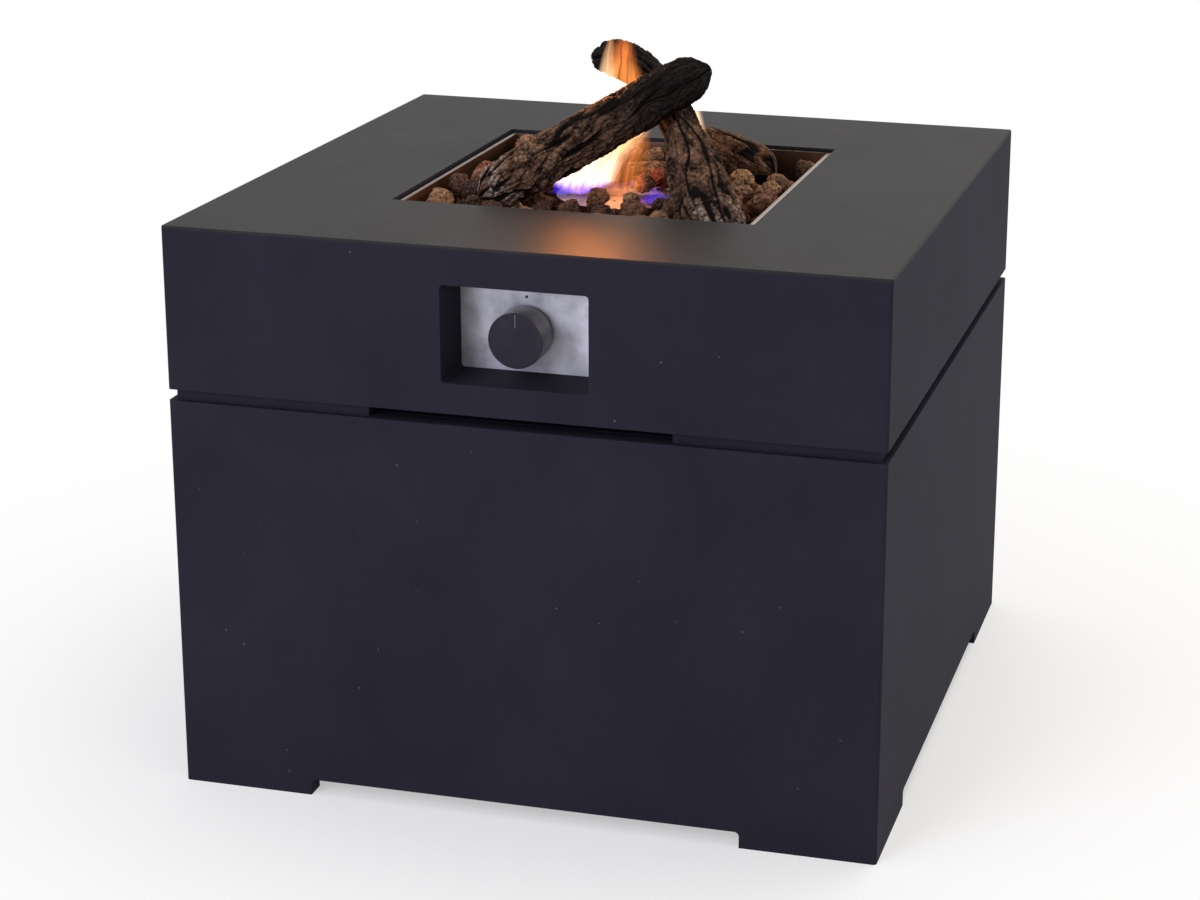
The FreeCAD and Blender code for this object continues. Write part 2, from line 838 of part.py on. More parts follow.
def return_spring():
    """A helical spring round the spindle: rings of facets along a coil."""
    wire = float(s.spring_wire)
    mean = (float(s.spindle_radius) + float(s.bonnet_bore)) / 2
    free = float(s.spring_length) - 2 * wire
    steps = round(float(s.spring_turns) * 14)
    rings = []
    for step in range(steps + 1):
        turn = 2 * math.pi * float(s.spring_turns) * step / steps
        out = Vector(math.cos(turn), math.sin(turn), 0)
        centre = out * mean + Vector(0, 0, free * step / steps)
        rings.append(ring_about(centre, out, Z_AXIS, wire, 6))
    item = solid("return_spring", solid_of(skin(rings)))
    return along(item, "y", (spring_front + s.spring_wire, spring_back), knob_axis)


def valve_lock_nut():
    span = (plate_front - s.lock_nut_height, plate_front)
    nut = hexagon("lock_nut_bar", "y", s.lock_nut_flats, span, knob_axis)
    thread = rod("lock_nut_thread", "y", s.bonnet_radius + half_thread, span, knob_axis)
    return cut("valve_lock_nut", nut, thread)


def gas_valve_body():
    """The die-cast valve: a threaded bonnet through the plate, the barrel, the magnet
    housing of the flame guard behind it, the inlet below and the outlet at the side."""
    barrel = rod("valve_barrel", "y", s.valve_radius, (valve_front, valve_back), knob_axis)
    bonnet = rod("valve_bonnet", "y", s.bonnet_radius, (bonnet_front, valve_front), knob_axis)
    magnet = rod("magnet_housing", "y", s.magnet_radius, (valve_back, magnet_back), knob_axis)
    flat_side = s.valve_radius * 0.8
    wide = (knob_x - flat_side, knob_x + flat_side)
    tall = (knob_z - s.valve_radius, knob_z + s.valve_radius)
    flank = block("valve_flank", wide, (valve_front, valve_back), tall)
    inlet_span = (knob_z - s.valve_radius - s.inlet_port_length, knob_z)
    inlet = rod("inlet_port", "z", s.inlet_port_radius, inlet_span, (knob_x, port_y))
    outlet_end = knob_x + s.valve_radius + s.outlet_port_length
    outlet = rod("outlet_port", "x", s.outlet_port_radius, (knob_x, outlet_end), (port_y, knob_z))
    casting = fuse("valve_casting", barrel, bonnet, magnet, flank, inlet, outlet)
    seat = rod("cap_seat", "y", flange_radius + 1 + half_thread, (bonnet_front, cap_back), knob_axis)
    spring_room = rod("spring_room", "y", s.bonnet_bore, (cap_back, spring_back), knob_axis)
    plug_end = spring_back + 10 + s.knob_travel + 1
    plug_bore = rod("plug_bore", "y", bearing, (spring_back, plug_end), knob_axis)
    inlet_way = rod("inlet_way", "z", s.hose_tail_bore, (inlet_span[0], knob_z - 8), (knob_x, port_y))
    socket = (outlet_end - s.outlet_port_length / 2, outlet_end)
    tube_seat = rod("tube_seat", "x", s.tube_radius + half_thread, socket, (port_y, knob_z))
    return cut("gas_valve_body", casting, seat, spring_room, plug_bore, inlet_way, tube_seat)


def inlet_union_nut():
    """The nut that draws the hose tail against the valve's inlet."""
    port_end = knob_z - s.valve_radius - s.inlet_port_length
    high = port_end + s.inlet_nut_height / 2
    low = high - s.inlet_nut_height
    spot = (knob_x, port_y)
    nut = hexagon("inlet_nut_bar", "z", s.inlet_nut_flats, (low, high), spot)
    thread = rod("inlet_nut_thread", "z", s.inlet_port_radius + half_thread, (low + 4, high), spot)
    hole = rod("inlet_nut_hole", "z", s.hose_tail_neck + half_thread, (low, low + 4), spot)
    return cut("inlet_union_nut", nut, thread, hole)


def inlet_hose_tail():
    """The brass spigot that the gas hose pushes on to, with its neck and flange in the nut."""
    port_end = knob_z - s.valve_radius - s.inlet_port_length
    spot = (knob_x, port_y)
    nut_low = port_end - s.inlet_nut_height / 2
    tail_end = nut_low - s.hose_tail_length
    span = (tail_end, port_end)
    tail = rod("tail_tube", "z", s.hose_tail_radius, span, spot)
    flange = rod("tail_flange", "z", s.inlet_port_radius - half_thread, (nut_low + 4, port_end), spot)
    neck = rod("tail_neck", "z", s.hose_tail_neck, (nut_low, port_end), spot)
    bore = rod("tail_bore", "z", s.hose_tail_bore, span, spot)
    return cut("inlet_hose_tail", fuse("tail_turned", tail, neck, flange), bore)


def bent_rings(points, bend, radius, sides):
    """Rings of points round straight runs that tangent arcs join. An arc is as large as the
    bend or the shorter of its two runs allow, with a ring for every 15 degrees or so."""
    into = (points[1] - points[0]).normalize()
    over = into.cross(X_AXIS if abs(into.x) < 0.9 else Z_AXIS).normalize()
    rings = [ring_about(points[0], over, into.cross(over), radius, sides)]
    for before, corner, after in zip(points, points[1:], points[2:]):
        into = (corner - before).normalize()
        out = (after - corner).normalize()
        turn = into.getAngle(out)
        shorter = min((corner - before).Length, (after - corner).Length)
        reach = min(bend, 0.45 * shorter / math.tan(turn / 2))
        back = reach * math.tan(turn / 2)
        hinge = into.cross(out).normalize()
        centre = corner - into * back + hinge.cross(into) * reach
        count = max(2, math.ceil(math.degrees(turn) / 15))
        for step in range(count + 1):
            swing = FreeCAD.Rotation(hinge, math.degrees(turn) * step / count)
            middle = centre + swing.multVec(hinge.cross(into) * -reach)
            side = swing.multVec(over)
            ahead = swing.multVec(into)
            rings.append(ring_about(middle, side, ahead.cross(side), radius, sides))
        over = side
    rings.append(ring_about(points[-1], over, out.cross(over), radius, sides))
    return rings


def swept(points, bend, radius, bore=0, sides=12):
    """A round bar, or a tube with a bore, along a bent path, as facets."""
    bar = solid_of(skin(bent_rings(points, bend, radius, sides)))
    if not bore:
        return bar
    into = (points[1] - points[0]).normalize()
    out = (points[-1] - points[-2]).normalize()
    longer = [points[0] - into, *points[1:-1], points[-1] + out]
    return bar.cut(solid_of(skin(bent_rings(longer, bend, bore, sides))))


def spot(x, y, z):
    return Vector(float(x), float(y), float(z))


# Levels below the tray, down to the injector's elbow
nut_low = tray_low - s.burner_nut_height
collar_top = tray_floor + s.burner_rise
pan_floor = collar_top + s.sheet_steel
nipple_low = collar_top + 6 - s.nipple_length
mixer_top = nipple_low + 6
mixer_low = mixer_top - s.mixer_length
jet_low = mixer_low - 4
elbow_axis = jet_low - s.elbow_drop + 4
middle_spot = (as_size(0), as_size(0))
tube_start_x = knob_x + s.valve_radius + s.outlet_port_length / 2
elbow_mouth = -s.elbow_reach


def outlet_tube():
    """The gas tube from the valve's outlet, back under the tray and into the elbow."""
    side_x = knob_x + s.valve_radius + s.outlet_port_length + s.tube_reach
    turn_y = port_y + s.tube_run
    points = [
        spot(tube_start_x, port_y, knob_z),
        spot(side_x, port_y, knob_z),
        spot(side_x, turn_y, elbow_axis),
        spot(0, turn_y + s.tube_return, elbow_axis),
        spot(0, elbow_mouth + 8, elbow_axis),
    ]
    inner = float(s.tube_radius) - float(s.tube_wall)
    return solid("outlet_tube", swept(points, float(s.tube_bend), float(s.tube_radius), inner))


def outlet_nut():
    low = knob_x + s.valve_radius + s.outlet_port_length
    span = (low, low + s.tube_nut_height)
    where = (port_y, knob_z)
    nut = hexagon("outlet_nut_bar", "x", s.tube_nut_flats, span, where)
    hole = rod("outlet_nut_hole", "x", s.tube_radius + half_thread, span, where)
    return cut("outlet_nut", nut, hole)


def elbow_nut():
    span = (elbow_mouth - s.tube_nut_height, elbow_mouth)
    where = (as_size(0), elbow_axis)
    nut = hexagon("elbow_nut_bar", "y", s.tube_nut_flats, span, where)
    hole = rod("elbow_nut_hole", "y", s.tube_radius + half_thread, span, where)
    return cut("elbow_nut", nut, hole)


def injector_elbow():
    """The elbow that turns the gas up into the injector."""
    low = elbow_axis - s.elbow_radius
    upright = rod("elbow_upright", "z", s.elbow_radius, (low, jet_low), middle_spot)
    arm_radius = s.elbow_radius - 1
    where = (as_size(0), elbow_axis)
    arm = rod("elbow_arm", "y", arm_radius, (elbow_mouth, as_size(0)), where)
    socket_span = (elbow_mouth, elbow_mouth + 8)
    socket = rod("elbow_socket", "y", s.tube_radius + half_thread, socket_span, where)
    gas_way = rod("elbow_gas_way", "y", s.hose_tail_bore, (elbow_mouth, as_size(0)), where)
    well = (jet_low - 6, jet_low)
    thread = rod("elbow_thread", "z", s.jet_radius + half_thread, well, middle_spot)
    rise = rod("elbow_rise", "z", s.hose_tail_bore, (elbow_axis, jet_low), middle_spot)
    return cut("injector_elbow", fuse("elbow_body", upright, arm), socket, gas_way, thread, rise)


def injector_jet():
    """The brass injector: a hexagon between its two threads and a nozzle at the top."""
    thread = rod("jet_thread", "z", s.jet_radius, (jet_low - 6, mixer_low + 8), middle_spot)
    flats = hexagon("jet_hexagon", "z", s.jet_flats, (jet_low, mixer_low), middle_spot)
    radii = (s.jet_radius, s.jet_radius * 0.4)
    nozzle = cone("jet_nozzle", "z", radii, (mixer_low + 8, mixer_low + 13), middle_spot)
    hole = rod("jet_hole", "z", s.jet_radius * 0.25, (jet_low - 6, mixer_low + 13), middle_spot)
    return cut("injector_jet", fuse("jet_turned", thread, flats, nozzle), hole)


def air_mixer():
    """The mixing tube, with four air ports round its waist."""
    tube = rod("mixer_tube", "z", s.mixer_radius, (mixer_low, mixer_top), middle_spot)
    foot = rod("mixer_thread", "z", s.jet_radius + half_thread, (mixer_low, mixer_low + 6), middle_spot)
    waist = rod("mixer_bore", "z", s.mixer_bore, (mixer_low + 6, nipple_low - 0.3), middle_spot)
    neck_span = (nipple_low - 0.3, mixer_top)
    neck = rod("mixer_neck", "z", s.nipple_radius + half_thread, neck_span, middle_spot)
    port_z = mixer_low + s.mixer_length * 0.4
    across = (-s.mixer_radius - 1, s.mixer_radius + 1)
    ports_x = rod("air_ports_x", "x", s.air_port_radius, across, (as_size(0), port_z))
    ports_y = rod("air_ports_y", "y", s.air_port_radius, across, (as_size(0), port_z))
    return cut("air_mixer", tube, foot, waist, neck, ports_x, ports_y)


def burner_nipple():
    """The threaded nipple that carries the burner, with its collar on the tray's floor."""
    span = (nipple_low, collar_top + 6)
    tube = rod("nipple_tube", "z", s.nipple_radius, span, middle_spot)
    collar = rod("nipple_collar", "z", s.nipple_radius + 7, (tray_floor, collar_top), middle_spot)
    bore = rod("nipple_way", "z", s.nipple_bore, span, middle_spot)
    return cut("burner_nipple", fuse("nipple_turned", tube, collar), bore)


def burner_nut(name, low):
    span = (low, low + s.burner_nut_height)
    nut = hexagon(name + "_bar", "z", s.burner_nut_flats, span, middle_spot)
    thread = rod(name + "_thread", "z", s.nipple_radius + half_thread, span, middle_spot)
    return cut(name, nut, thread)


pan_top = collar_top + s.burner_height - s.sheet_steel


def burner_pan():
    """The pressed pan under the burner's cover."""
    shell = rod("pan_outside", "z", s.burner_radius, (collar_top, pan_top), middle_spot)
    inner = s.burner_radius - s.sheet_steel
    room = rod("pan_room", "z", inner, (pan_floor, pan_top), middle_spot)
    hole = rod("pan_hole", "z", s.nipple_radius + s.hole_gap, (collar_top, pan_floor), middle_spot)
    return cut("burner_pan", shell, room, hole)


def burner_cover():
    """The pressed cover: a turned-down rim and two rings of flame ports."""
    body = new_body("burner_cover")
    top = pan_top + s.sheet_steel
    inner = s.burner_radius + s.seat_gap
    disc = new_sketch(body, "XY_Plane", top)
    circle(disc, 0, 0, inner + s.sheet_steel)
    pad(body, disc, s.sheet_steel + s.cover_overlap, backwards=True)
    room = new_sketch(body, "XY_Plane", pan_top - s.cover_overlap)
    circle(room, 0, 0, inner)
    pocket(body, room, s.cover_overlap, backwards=True)
    for share, count in ((0.84, 16), (0.5, 8)):
        port = new_sketch(body, "XY_Plane", top)
        circle(port, s.burner_radius * share, 0, s.port_radius)
        hole = pocket(body, port, s.sheet_steel)
        ring = body.newObject("PartDesign::PolarPattern", "port_ring")
        ring.Originals = [hole]
        ring.Axis = (port, ["N_Axis"])
        ring.Angle = 360
        ring.Occurrences = count
        body.Tip = ring
    return body


# The pilot bracket stands on the tray's floor in front of the burner
tab_top = tray_floor + s.pilot_tab_rise
bracket_front = pilot_y - s.ceramic_radius - 24
bracket_back = pilot_y + s.ceramic_radius + 2
upright_y = pilot_y - s.ceramic_radius - 6
probe_spot = (s.probe_offset, pilot_y)
electrode_spot = (-s.probe_offset, pilot_y)
probe_low = tray_low - 9
probe_top = tab_top + s.probe_reach
wire_radius = s.ceramic_radius * 0.25


def pilot_bracket():
    """A folded bracket that holds the electrode and the flame sensor at the burner's rim."""
    half = s.pilot_width / 2
    wide = (-half, half)
    foot_top = tray_floor + s.bracket_steel
    front = (bracket_front, upright_y + s.bracket_steel)
    foot = block("bracket_foot", wide, front, (tray_floor, foot_top))
    web_y = (upright_y, upright_y + s.bracket_steel)
    web = block("bracket_web", wide, web_y, (tray_floor, tab_top))
    tab_z = (tab_top - s.bracket_steel, tab_top)
    tab = block("bracket_tab", wide, (upright_y, bracket_back), tab_z)
    probe_hole = rod("probe_hole", "z", s.probe_radius + half_thread, tab_z, probe_spot)
    electrode_hole = rod("electrode_hole", "z", s.ceramic_radius + half_thread, tab_z, electrode_spot)
    holes = [
        rod("bracket_hole", "z", s.screw_four + s.hole_gap, (tray_floor, foot_top), place_xy)
        for place_xy in pilot_screw_places()
    ]
    folded = fuse("bracket_folded", foot, web, tab)
    return cut("pilot_bracket", folded, probe_hole, electrode_hole, *holes)


def bracket_screws():
    under_head = tray_floor + s.bracket_steel
    length = s.bracket_steel + s.sheet_steel + s.screw_four * 2.2
    return group(
        "bracket_screws",
        [
            screw("bracket_screw", "z", s.screw_four, length, under_head, place_xy, way=-1)
            for place_xy in pilot_screw_places()
        ],
    )


def bracket_nuts():
    nuts = []
    for place_xy in pilot_screw_places():
        span = (tray_low - s.screw_four * 1.6, tray_low)
        bar = hexagon("bracket_nut_bar", "z", s.screw_four * 3.5, span, place_xy)
        thread = rod("bracket_nut_thread", "z", s.screw_four + half_thread, span, place_xy)
        nuts.append(cut("bracket_nut", bar, thread))
    return group("bracket_nuts", nuts)


def thermocouple_probe():
    """The sheathed tip of the flame sensor, with the collar that sits under the tab."""
    stem = rod("probe_stem", "z", s.probe_radius, (probe_low, probe_top - 4), probe_spot)
    radii = (s.probe_radius, s.probe_radius * 0.6)
    tip = cone("probe_tip", "z", radii, (probe_top - 4, probe_top), probe_spot)
    under = tab_top - s.bracket_steel
    collar = rod("probe_collar", "z", s.probe_radius + 1.5, (under - 4, under), probe_spot)
    return fuse("thermocouple_probe", stem, tip, collar)


def electrode_ceramic():
    """The ceramic sleeve of the spark electrode."""
    under = tab_top - s.bracket_steel
    sleeve_span = (probe_low, tab_top + 8)
    sleeve = rod("ceramic_sleeve", "z", s.ceramic_radius, sleeve_span, electrode_spot)
    collar = rod("ceramic_collar", "z", s.ceramic_radius + 1.3, (under - 5, under), electrode_spot)
    core = rod("ceramic_core", "z", wire_radius + half_thread, sleeve_span, electrode_spot)
    return cut("electrode_ceramic", fuse("ceramic_fired", sleeve, collar), core)


def electrode_tip():
    """The spark wire through the ceramic."""
    return rod("electrode_tip", "z", wire_radius, (probe_low, probe_top + 2), electrode_spot)


def thermocouple_nut():
    """The small nut that screws the sensor's lead into the magnet housing."""
    nut_reach = s.magnet_radius * 0.8
    span = (magnet_back, magnet_back + nut_reach)
    bar = hexagon("sensor_nut_bar", "y", s.magnet_radius, span, knob_axis)
    hole = rod("sensor_nut_hole", "y", s.capillary_radius + half_thread, span, knob_axis)
    return cut("thermocouple_nut", bar, hole)


def thermocouple_lead():
    """The copper capillary from the magnet housing to the sensor's tip."""
    droop = tray_low - 30
    points = [
        spot(knob_x, magnet_back + 0.3, knob_z),
        spot(knob_x, magnet_back + 36, knob_z),
        spot(s.probe_offset, pilot_y - 42, droop),
        spot(s.probe_offset, pilot_y, droop),
        spot(s.probe_offset, pilot_y, probe_low - 0.3),
    ]
    shape = swept(points, float(s.lead_bend), float(s.capillary_radius), sides=8)
    return solid("thermocouple_lead", shape)


# The igniter hangs beside the valve on a folded bracket that the lock nut clamps
piezo_left = knob_x - s.piezo_reach
piezo_right = piezo_left + s.piezo_width
piezo_front = plate_back + s.bracket_steel + 2
piezo_back = piezo_front + s.piezo_depth
piezo_low = knob_z - s.piezo_height / 2
piezo_high = knob_z + s.piezo_height / 2
terminal_x = piezo_left + s.piezo_width / 2
terminal_z = piezo_low + s.piezo_height / 3


def piezo_bracket():
    """A folded bracket between the plate and the valve, with an arm beside the igniter."""
    arm_x = (piezo_left - s.bracket_steel, piezo_left)
    right = knob_x + s.valve_radius
    tall = (piezo_low, piezo_high)
    face_y = (plate_back, plate_back + s.bracket_steel)
    face = block("piezo_face", (arm_x[0], right), face_y, tall)
    arm = block("piezo_arm", arm_x, (plate_back, piezo_back), tall)
    hole = rod("piezo_bonnet_hole", "y", s.bonnet_radius + s.hole_gap, face_y, knob_axis)
    screw_holes = [
        rod("piezo_screw_hole", "x", s.screw_three + s.hole_gap, arm_x, where)
        for where in piezo_screw_places()
    ]
    return cut("piezo_bracket", fuse("piezo_folded", face, arm), hole, *screw_holes)


def piezo_screw_places():
    return [(piezo_front + s.piezo_depth * share, knob_z) for share in (0.25, 0.75)]


def piezo_igniter():
    """The igniter's moulded case, with the terminal that its lead pushes on to."""
    case = block(
        "piezo_case", (piezo_left, piezo_right), (piezo_front, piezo_back), (piezo_low, piezo_high)
    )
    where = (terminal_x, terminal_z)
    terminal = rod("piezo_terminal", "y", s.lead_radius * 2, (piezo_back, piezo_back + 8), where)
    holes = [
        rod("piezo_thread", "x", s.screw_three + s.hole_gap, (piezo_left, piezo_left + 7), spot_yz)
        for spot_yz in piezo_screw_places()
    ]
    return cut("piezo_igniter", fuse("piezo_moulded", case, terminal), *holes)


def piezo_screws():
    outside = piezo_left - s.bracket_steel
    return group(
        "piezo_screws",
        [
            screw("piezo_screw", "x", s.screw_three, s.bracket_steel + 6, outside, where)
            for where in piezo_screw_places()
        ],
    )


def ignition_lead():
    """The silicone-covered lead from the igniter to the electrode."""
    droop = tray_low - 42
    start = piezo_back + 8.3
    points = [
        spot(terminal_x, start, terminal_z),
        spot(terminal_x, start + 36, terminal_z),
        spot(-s.probe_offset, pilot_y - 46, droop),
        spot(-s.probe_offset, pilot_y, droop),
        spot(-s.probe_offset, pilot_y, probe_low - 0.3),
    ]
    shape = swept(points, float(s.lead_bend), float(s.lead_radius), sides=8)
    return solid("ignition_lead", shape)


def moved(facets, shift):
    return [tuple(corner + shift for corner in facet) for facet in facets]


def extent(facets, axis):
    """The lowest and highest coordinate of the facets on one axis."""
    values = [corner[axis] for facet in facets for corner in facet]
    return min(values), max(values)


def facing(facets, axis, sign):
    """The facets that face up or down an axis, each with its box across that axis."""
    first, second = [n for n in range(3) if n != axis]
    chosen = []
    for a, b, c in facets:
        if (b - a).cross(c - a)[axis] * sign <= 0:
            continue
        across = [a[first], b[first], c[first]]
        over = [a[second], b[second], c[second]]
        box = (min(across), max(across), min(over), max(over))
        corners = [(p[first], p[second], p[axis]) for p in (a, b, c)]
        chosen.append((box, corners))
    return chosen


def level_at(corners, x, y):
    """The height of a facet's plane over a point, and whether the point is inside it."""
    (ax, ay, az), (bx, by, bz), (cx, cy, cz) = corners
    whole = (bx - ax) * (cy - ay) - (cx - ax) * (by - ay)
    if abs(whole) < 1e-9:
        return None
    share_b = ((x - ax) * (cy - ay) - (cx - ax) * (y - ay)) / whole
    share_c = ((bx - ax) * (y - ay) - (x - ax) * (by - ay)) / whole
    inside = share_b > -1e-6 and share_c > -1e-6 and share_b + share_c < 1 + 1e-6
    return az + share_b * (bz - az) + share_c * (cz - az), inside


def crossings(one, two):
    """Where the edges of two facets cross as seen along the axis."""
    found = []
    for (ax, ay, _), (bx, by, _) in zip(one, one[1:] + one[:1]):
        for (cx, cy, _), (dx, dy, _) in zip(two, two[1:] + two[:1]):
            slope = (bx - ax) * (dy - cy) - (by - ay) * (dx - cx)
            if abs(slope) < 1e-9:
                continue
            along_one = ((cx - ax) * (dy - cy) - (cy - ay) * (dx - cx)) / slope
            along_two = ((cx - ax) * (by - ay) - (cy - ay) * (bx - ax)) / slope
            if 0 <= along_one <= 1 and 0 <= along_two <= 1:
                found.append((ax + along_one * (bx - ax), ay + along_one * (by - ay)))
    return found


def room_between(upper, lower, axis=2):
    """How far the upper facets can move down an axis before they meet the lower ones, less
    than nothing where they overlap, or None where they pass each other by."""
    least = None
    below = facing(lower, axis, 1)
    for box, corners in facing(upper, axis, -1):
        for other_box, others in below:
            if box[0] > other_box[1] or other_box[0] > box[1]:
                continue
            if box[2] > other_box[3] or other_box[2] > box[3]:
                continue
            spots = [(x, y) for x, y, _ in corners + others] + crossings(corners, others)
            for x, y in spots:
                high = level_at(corners, x, y)
                low = level_at(others, x, y)
                if high and low and high[1] and low[1]:
                    gap = high[0] - low[0]
                    least = gap if least is None else min(least, gap)
    return least


LOG_SIDES = 12
LOG_RINGS = 9


def log_skin(foot, bend, tip, radii, phase, flat_foot=False, taper=1):
    """A ceramic log round a curved centre line. Its radius runs from the foot's to the tip's,
    late where taper is high, and ridges of bark make it uneven: three broad lobes that wind,
    and five narrow ones."""
    foot_radius, tip_radius = radii
    rings = []
    for step in range(LOG_RINGS):
        share = step / (LOG_RINGS - 1)
        centre = foot * (1 - share) ** 2 + bend * (2 * share * (1 - share)) + tip * share**2
        ahead = ((bend - foot) * (1 - share) + (tip - bend) * share).normalize()
        if flat_foot and step == 0:
            ahead = Z_AXIS
        side = (Y_AXIS if flat_foot else Z_AXIS).cross(ahead).normalize()
        over = ahead.cross(side)
        radius = foot_radius + (tip_radius - foot_radius) * share**taper
        if not flat_foot:
            radius *= 1 - 0.16 * (2 * share - 1) ** 8
        ring = []
        for count in range(LOG_SIDES):
            angle = 2 * math.pi * count / LOG_SIDES
            broad = 0.09 * math.sin(3 * angle + phase + 2.5 * share)
            narrow = 0.05 * math.sin(5 * angle - phase - 4 * share)
            reach = radius * (1 + broad + narrow)
            corner = centre + side * (reach * math.cos(angle)) + over * (reach * math.sin(angle))
            if flat_foot:
                corner.z = max(corner.z, foot.z + step * 1.5)
            ring.append(corner)
        rings.append(ring)
    low_tip = None if flat_foot else foot - (bend - foot).normalize() * (foot_radius * 0.3)
    high_tip = tip + (tip - bend).normalize() * (tip_radius * 0.45)
    return skin(rings, low_tip, high_tip)


def pointing(lean, turn):
    """The direction that rises by lean and is turned from +X by turn, in degrees."""
    flat = math.cos(math.radians(lean))
    heading = math.radians(turn)
    rise = math.sin(math.radians(lean))
    return Vector(flat * math.cos(heading), flat * math.sin(heading), rise)


def leaning_logs():
    """Three ceramic logs that lean together: the front one lies on the standing one, and the
    crossing one rises from behind the burner, bends over and leans on the front one's back."""
    gap = float(s.stone_gap)
    thick = float(s.log_radius)
    bed = float(tray_floor)
    room = float(tray_inner)
    front_way = pointing(float(s.front_log_lean), float(s.front_log_turn))
    front_foot = Vector(-room * 0.625, -room * 0.665, bed + thick * 2)
    front_tip = front_foot + front_way * float(s.front_log_length)
    front_bend = (front_foot + front_tip) / 2 + Vector(0, 0, thick * 0.15)
    front = log_skin(front_foot, front_bend, front_tip, (thick * 1.04, thick), 0.4)

    carried = front_foot + front_way * (float(s.front_log_length) * 0.93)
    standing_foot = Vector(room * 0.76, -room * 0.73, bed)
    standing_bend = Vector(room * 0.65, -room * 0.53, bed + thick * 2.75)
    standing_tip = Vector(carried.x - thick * 0.22, carried.y - thick * 0.2, carried.z - thick * 2)
    for _ in range(6):
        radii = (thick * 1.36, thick * 0.72)
        standing = log_skin(standing_foot, standing_bend, standing_tip, radii, 2.1, True, 3)
        standing_tip.z += room_between(front, standing) - gap

    crossing_foot = Vector(room * 0.44, room * 0.545, bed)
    crossing_bend = Vector(room * 0.305, -room * 0.23, bed + room * 1.13)
    crossing_tip = Vector(-room * 0.133, 0, bed + room)
    radii = (float(s.crossing_log_radius) * 1.05, float(s.crossing_log_radius))
    crossing = log_skin(crossing_foot, crossing_bend, crossing_tip, radii, 4.2, True)
    back = room_between(crossing, front + standing, 1) - gap
    return front, standing, moved(crossing, Vector(0, -back, 0))


def burnt_chunk():
    """A short piece of log on the tray's floor, behind the burner."""
    thick = float(s.chunk_radius)
    bed = float(tray_floor)
    middle_y = float(s.burner_radius) + thick * 1.45
    reach = float(s.chunk_length) / 2
    shift = reach * 0.32
    foot = Vector(-reach - shift, middle_y + 3, bed + thick)
    tip = Vector(reach - shift, middle_y, bed + thick * 1.3)
    bend = (foot + tip) / 2 + Vector(0, 2, 4)
    chunk = log_skin(foot, bend, tip, (thick * 0.95, thick * 1.2), 5.3)
    return moved(chunk, Vector(0, 0, bed - extent(chunk, 2)[0]))


def rear_log(below):
    """The log that lies at the back of the tray, on the lower stones or on the crossing log."""
    thick = float(s.rear_log_radius)
    bed = float(tray_floor)
    room = float(tray_inner)
    high = bed + float(s.stone_height) * 2
    foot = Vector(room * 0.29, room * 0.68, high + thick * 0.9)
    tip = Vector(room * 0.74, room * 0.58, high - thick * 0.2)
    bend = (foot + tip) / 2 + Vector(0, 0, thick * 0.2)
    log = log_skin(foot, bend, tip, (thick * 1.05, thick), 1.3)
    return moved(log, Vector(0, 0, float(s.stone_gap) - lowest_room([log], below)))


STONE_SIDES = 6
UNEVEN = 0.12
SHOVES = 120
LOWER_SIZES = (0.68, 1.05)
UPPER_SIZES = (0.7, 1.12)
BURNER_STONES = 6
CEILING = 1.78
FLAME_CEILING = 1.6


def stone_skin(x, y, low, radius, height, chance, pointed):
    """A lava stone: three uneven rings of facets, flat or pointed below, blunt above."""
    profile = ((0.0, 0.7), (0.42, 1.0), (0.84, 0.66))
    swing = chance.random() * math.pi
    rings = []
    for rise, reach in profile:
        ring = []
        for count in range(STONE_SIDES):
            angle = swing + 2 * math.pi * (count + rise) / STONE_SIDES
            uneven = radius * reach * (1 - UNEVEN * (1 - chance.random()))
            corner = Vector(x + uneven * math.cos(angle), y + uneven * math.sin(angle), low)
            ring.append(corner + Vector(0, 0, height * rise))
        rings.append(ring)
    low_tip = Vector(x, y, low - height * 0.18) if pointed else None
    return skin(rings, low_tip, Vector(x, y, low + height))


def footprint(facets, low, high):
    """Circles that fill a log's plan between two levels: one round its middle, and a point at
    each of its corners."""
    corners = {(corner.x, corner.y) for facet in facets for corner in facet if low < corner.z < high}
    if not corners:
        return []
    middle_x = sum(x for x, _ in corners) / len(corners)
    middle_y = sum(y for _, y in corners) / len(corners)
    inner = min(math.hypot(x - middle_x, y - middle_y) for x, y in corners)
    return [(inner, middle_x, middle_y)] + [(0, x, y) for x, y in corners]


def pushed_off(stone, blocks):
    """Moves a stone's middle off what is in the way and back inside the tray's walls."""
    gap = float(s.stone_gap)
    room = float(tray_inner) - gap - stone[0]
    for radius, x, y in blocks:
        apart = math.hypot(stone[1] - x, stone[2] - y) or gap
        short = stone[0] + radius + gap - apart
        if short > 0:
            stone[1] += (stone[1] - x) / apart * short
            stone[2] += (stone[2] - y) / apart * short
    stone[1] = max(-room, min(room, stone[1]))
    stone[2] = max(-room, min(room, stone[2]))


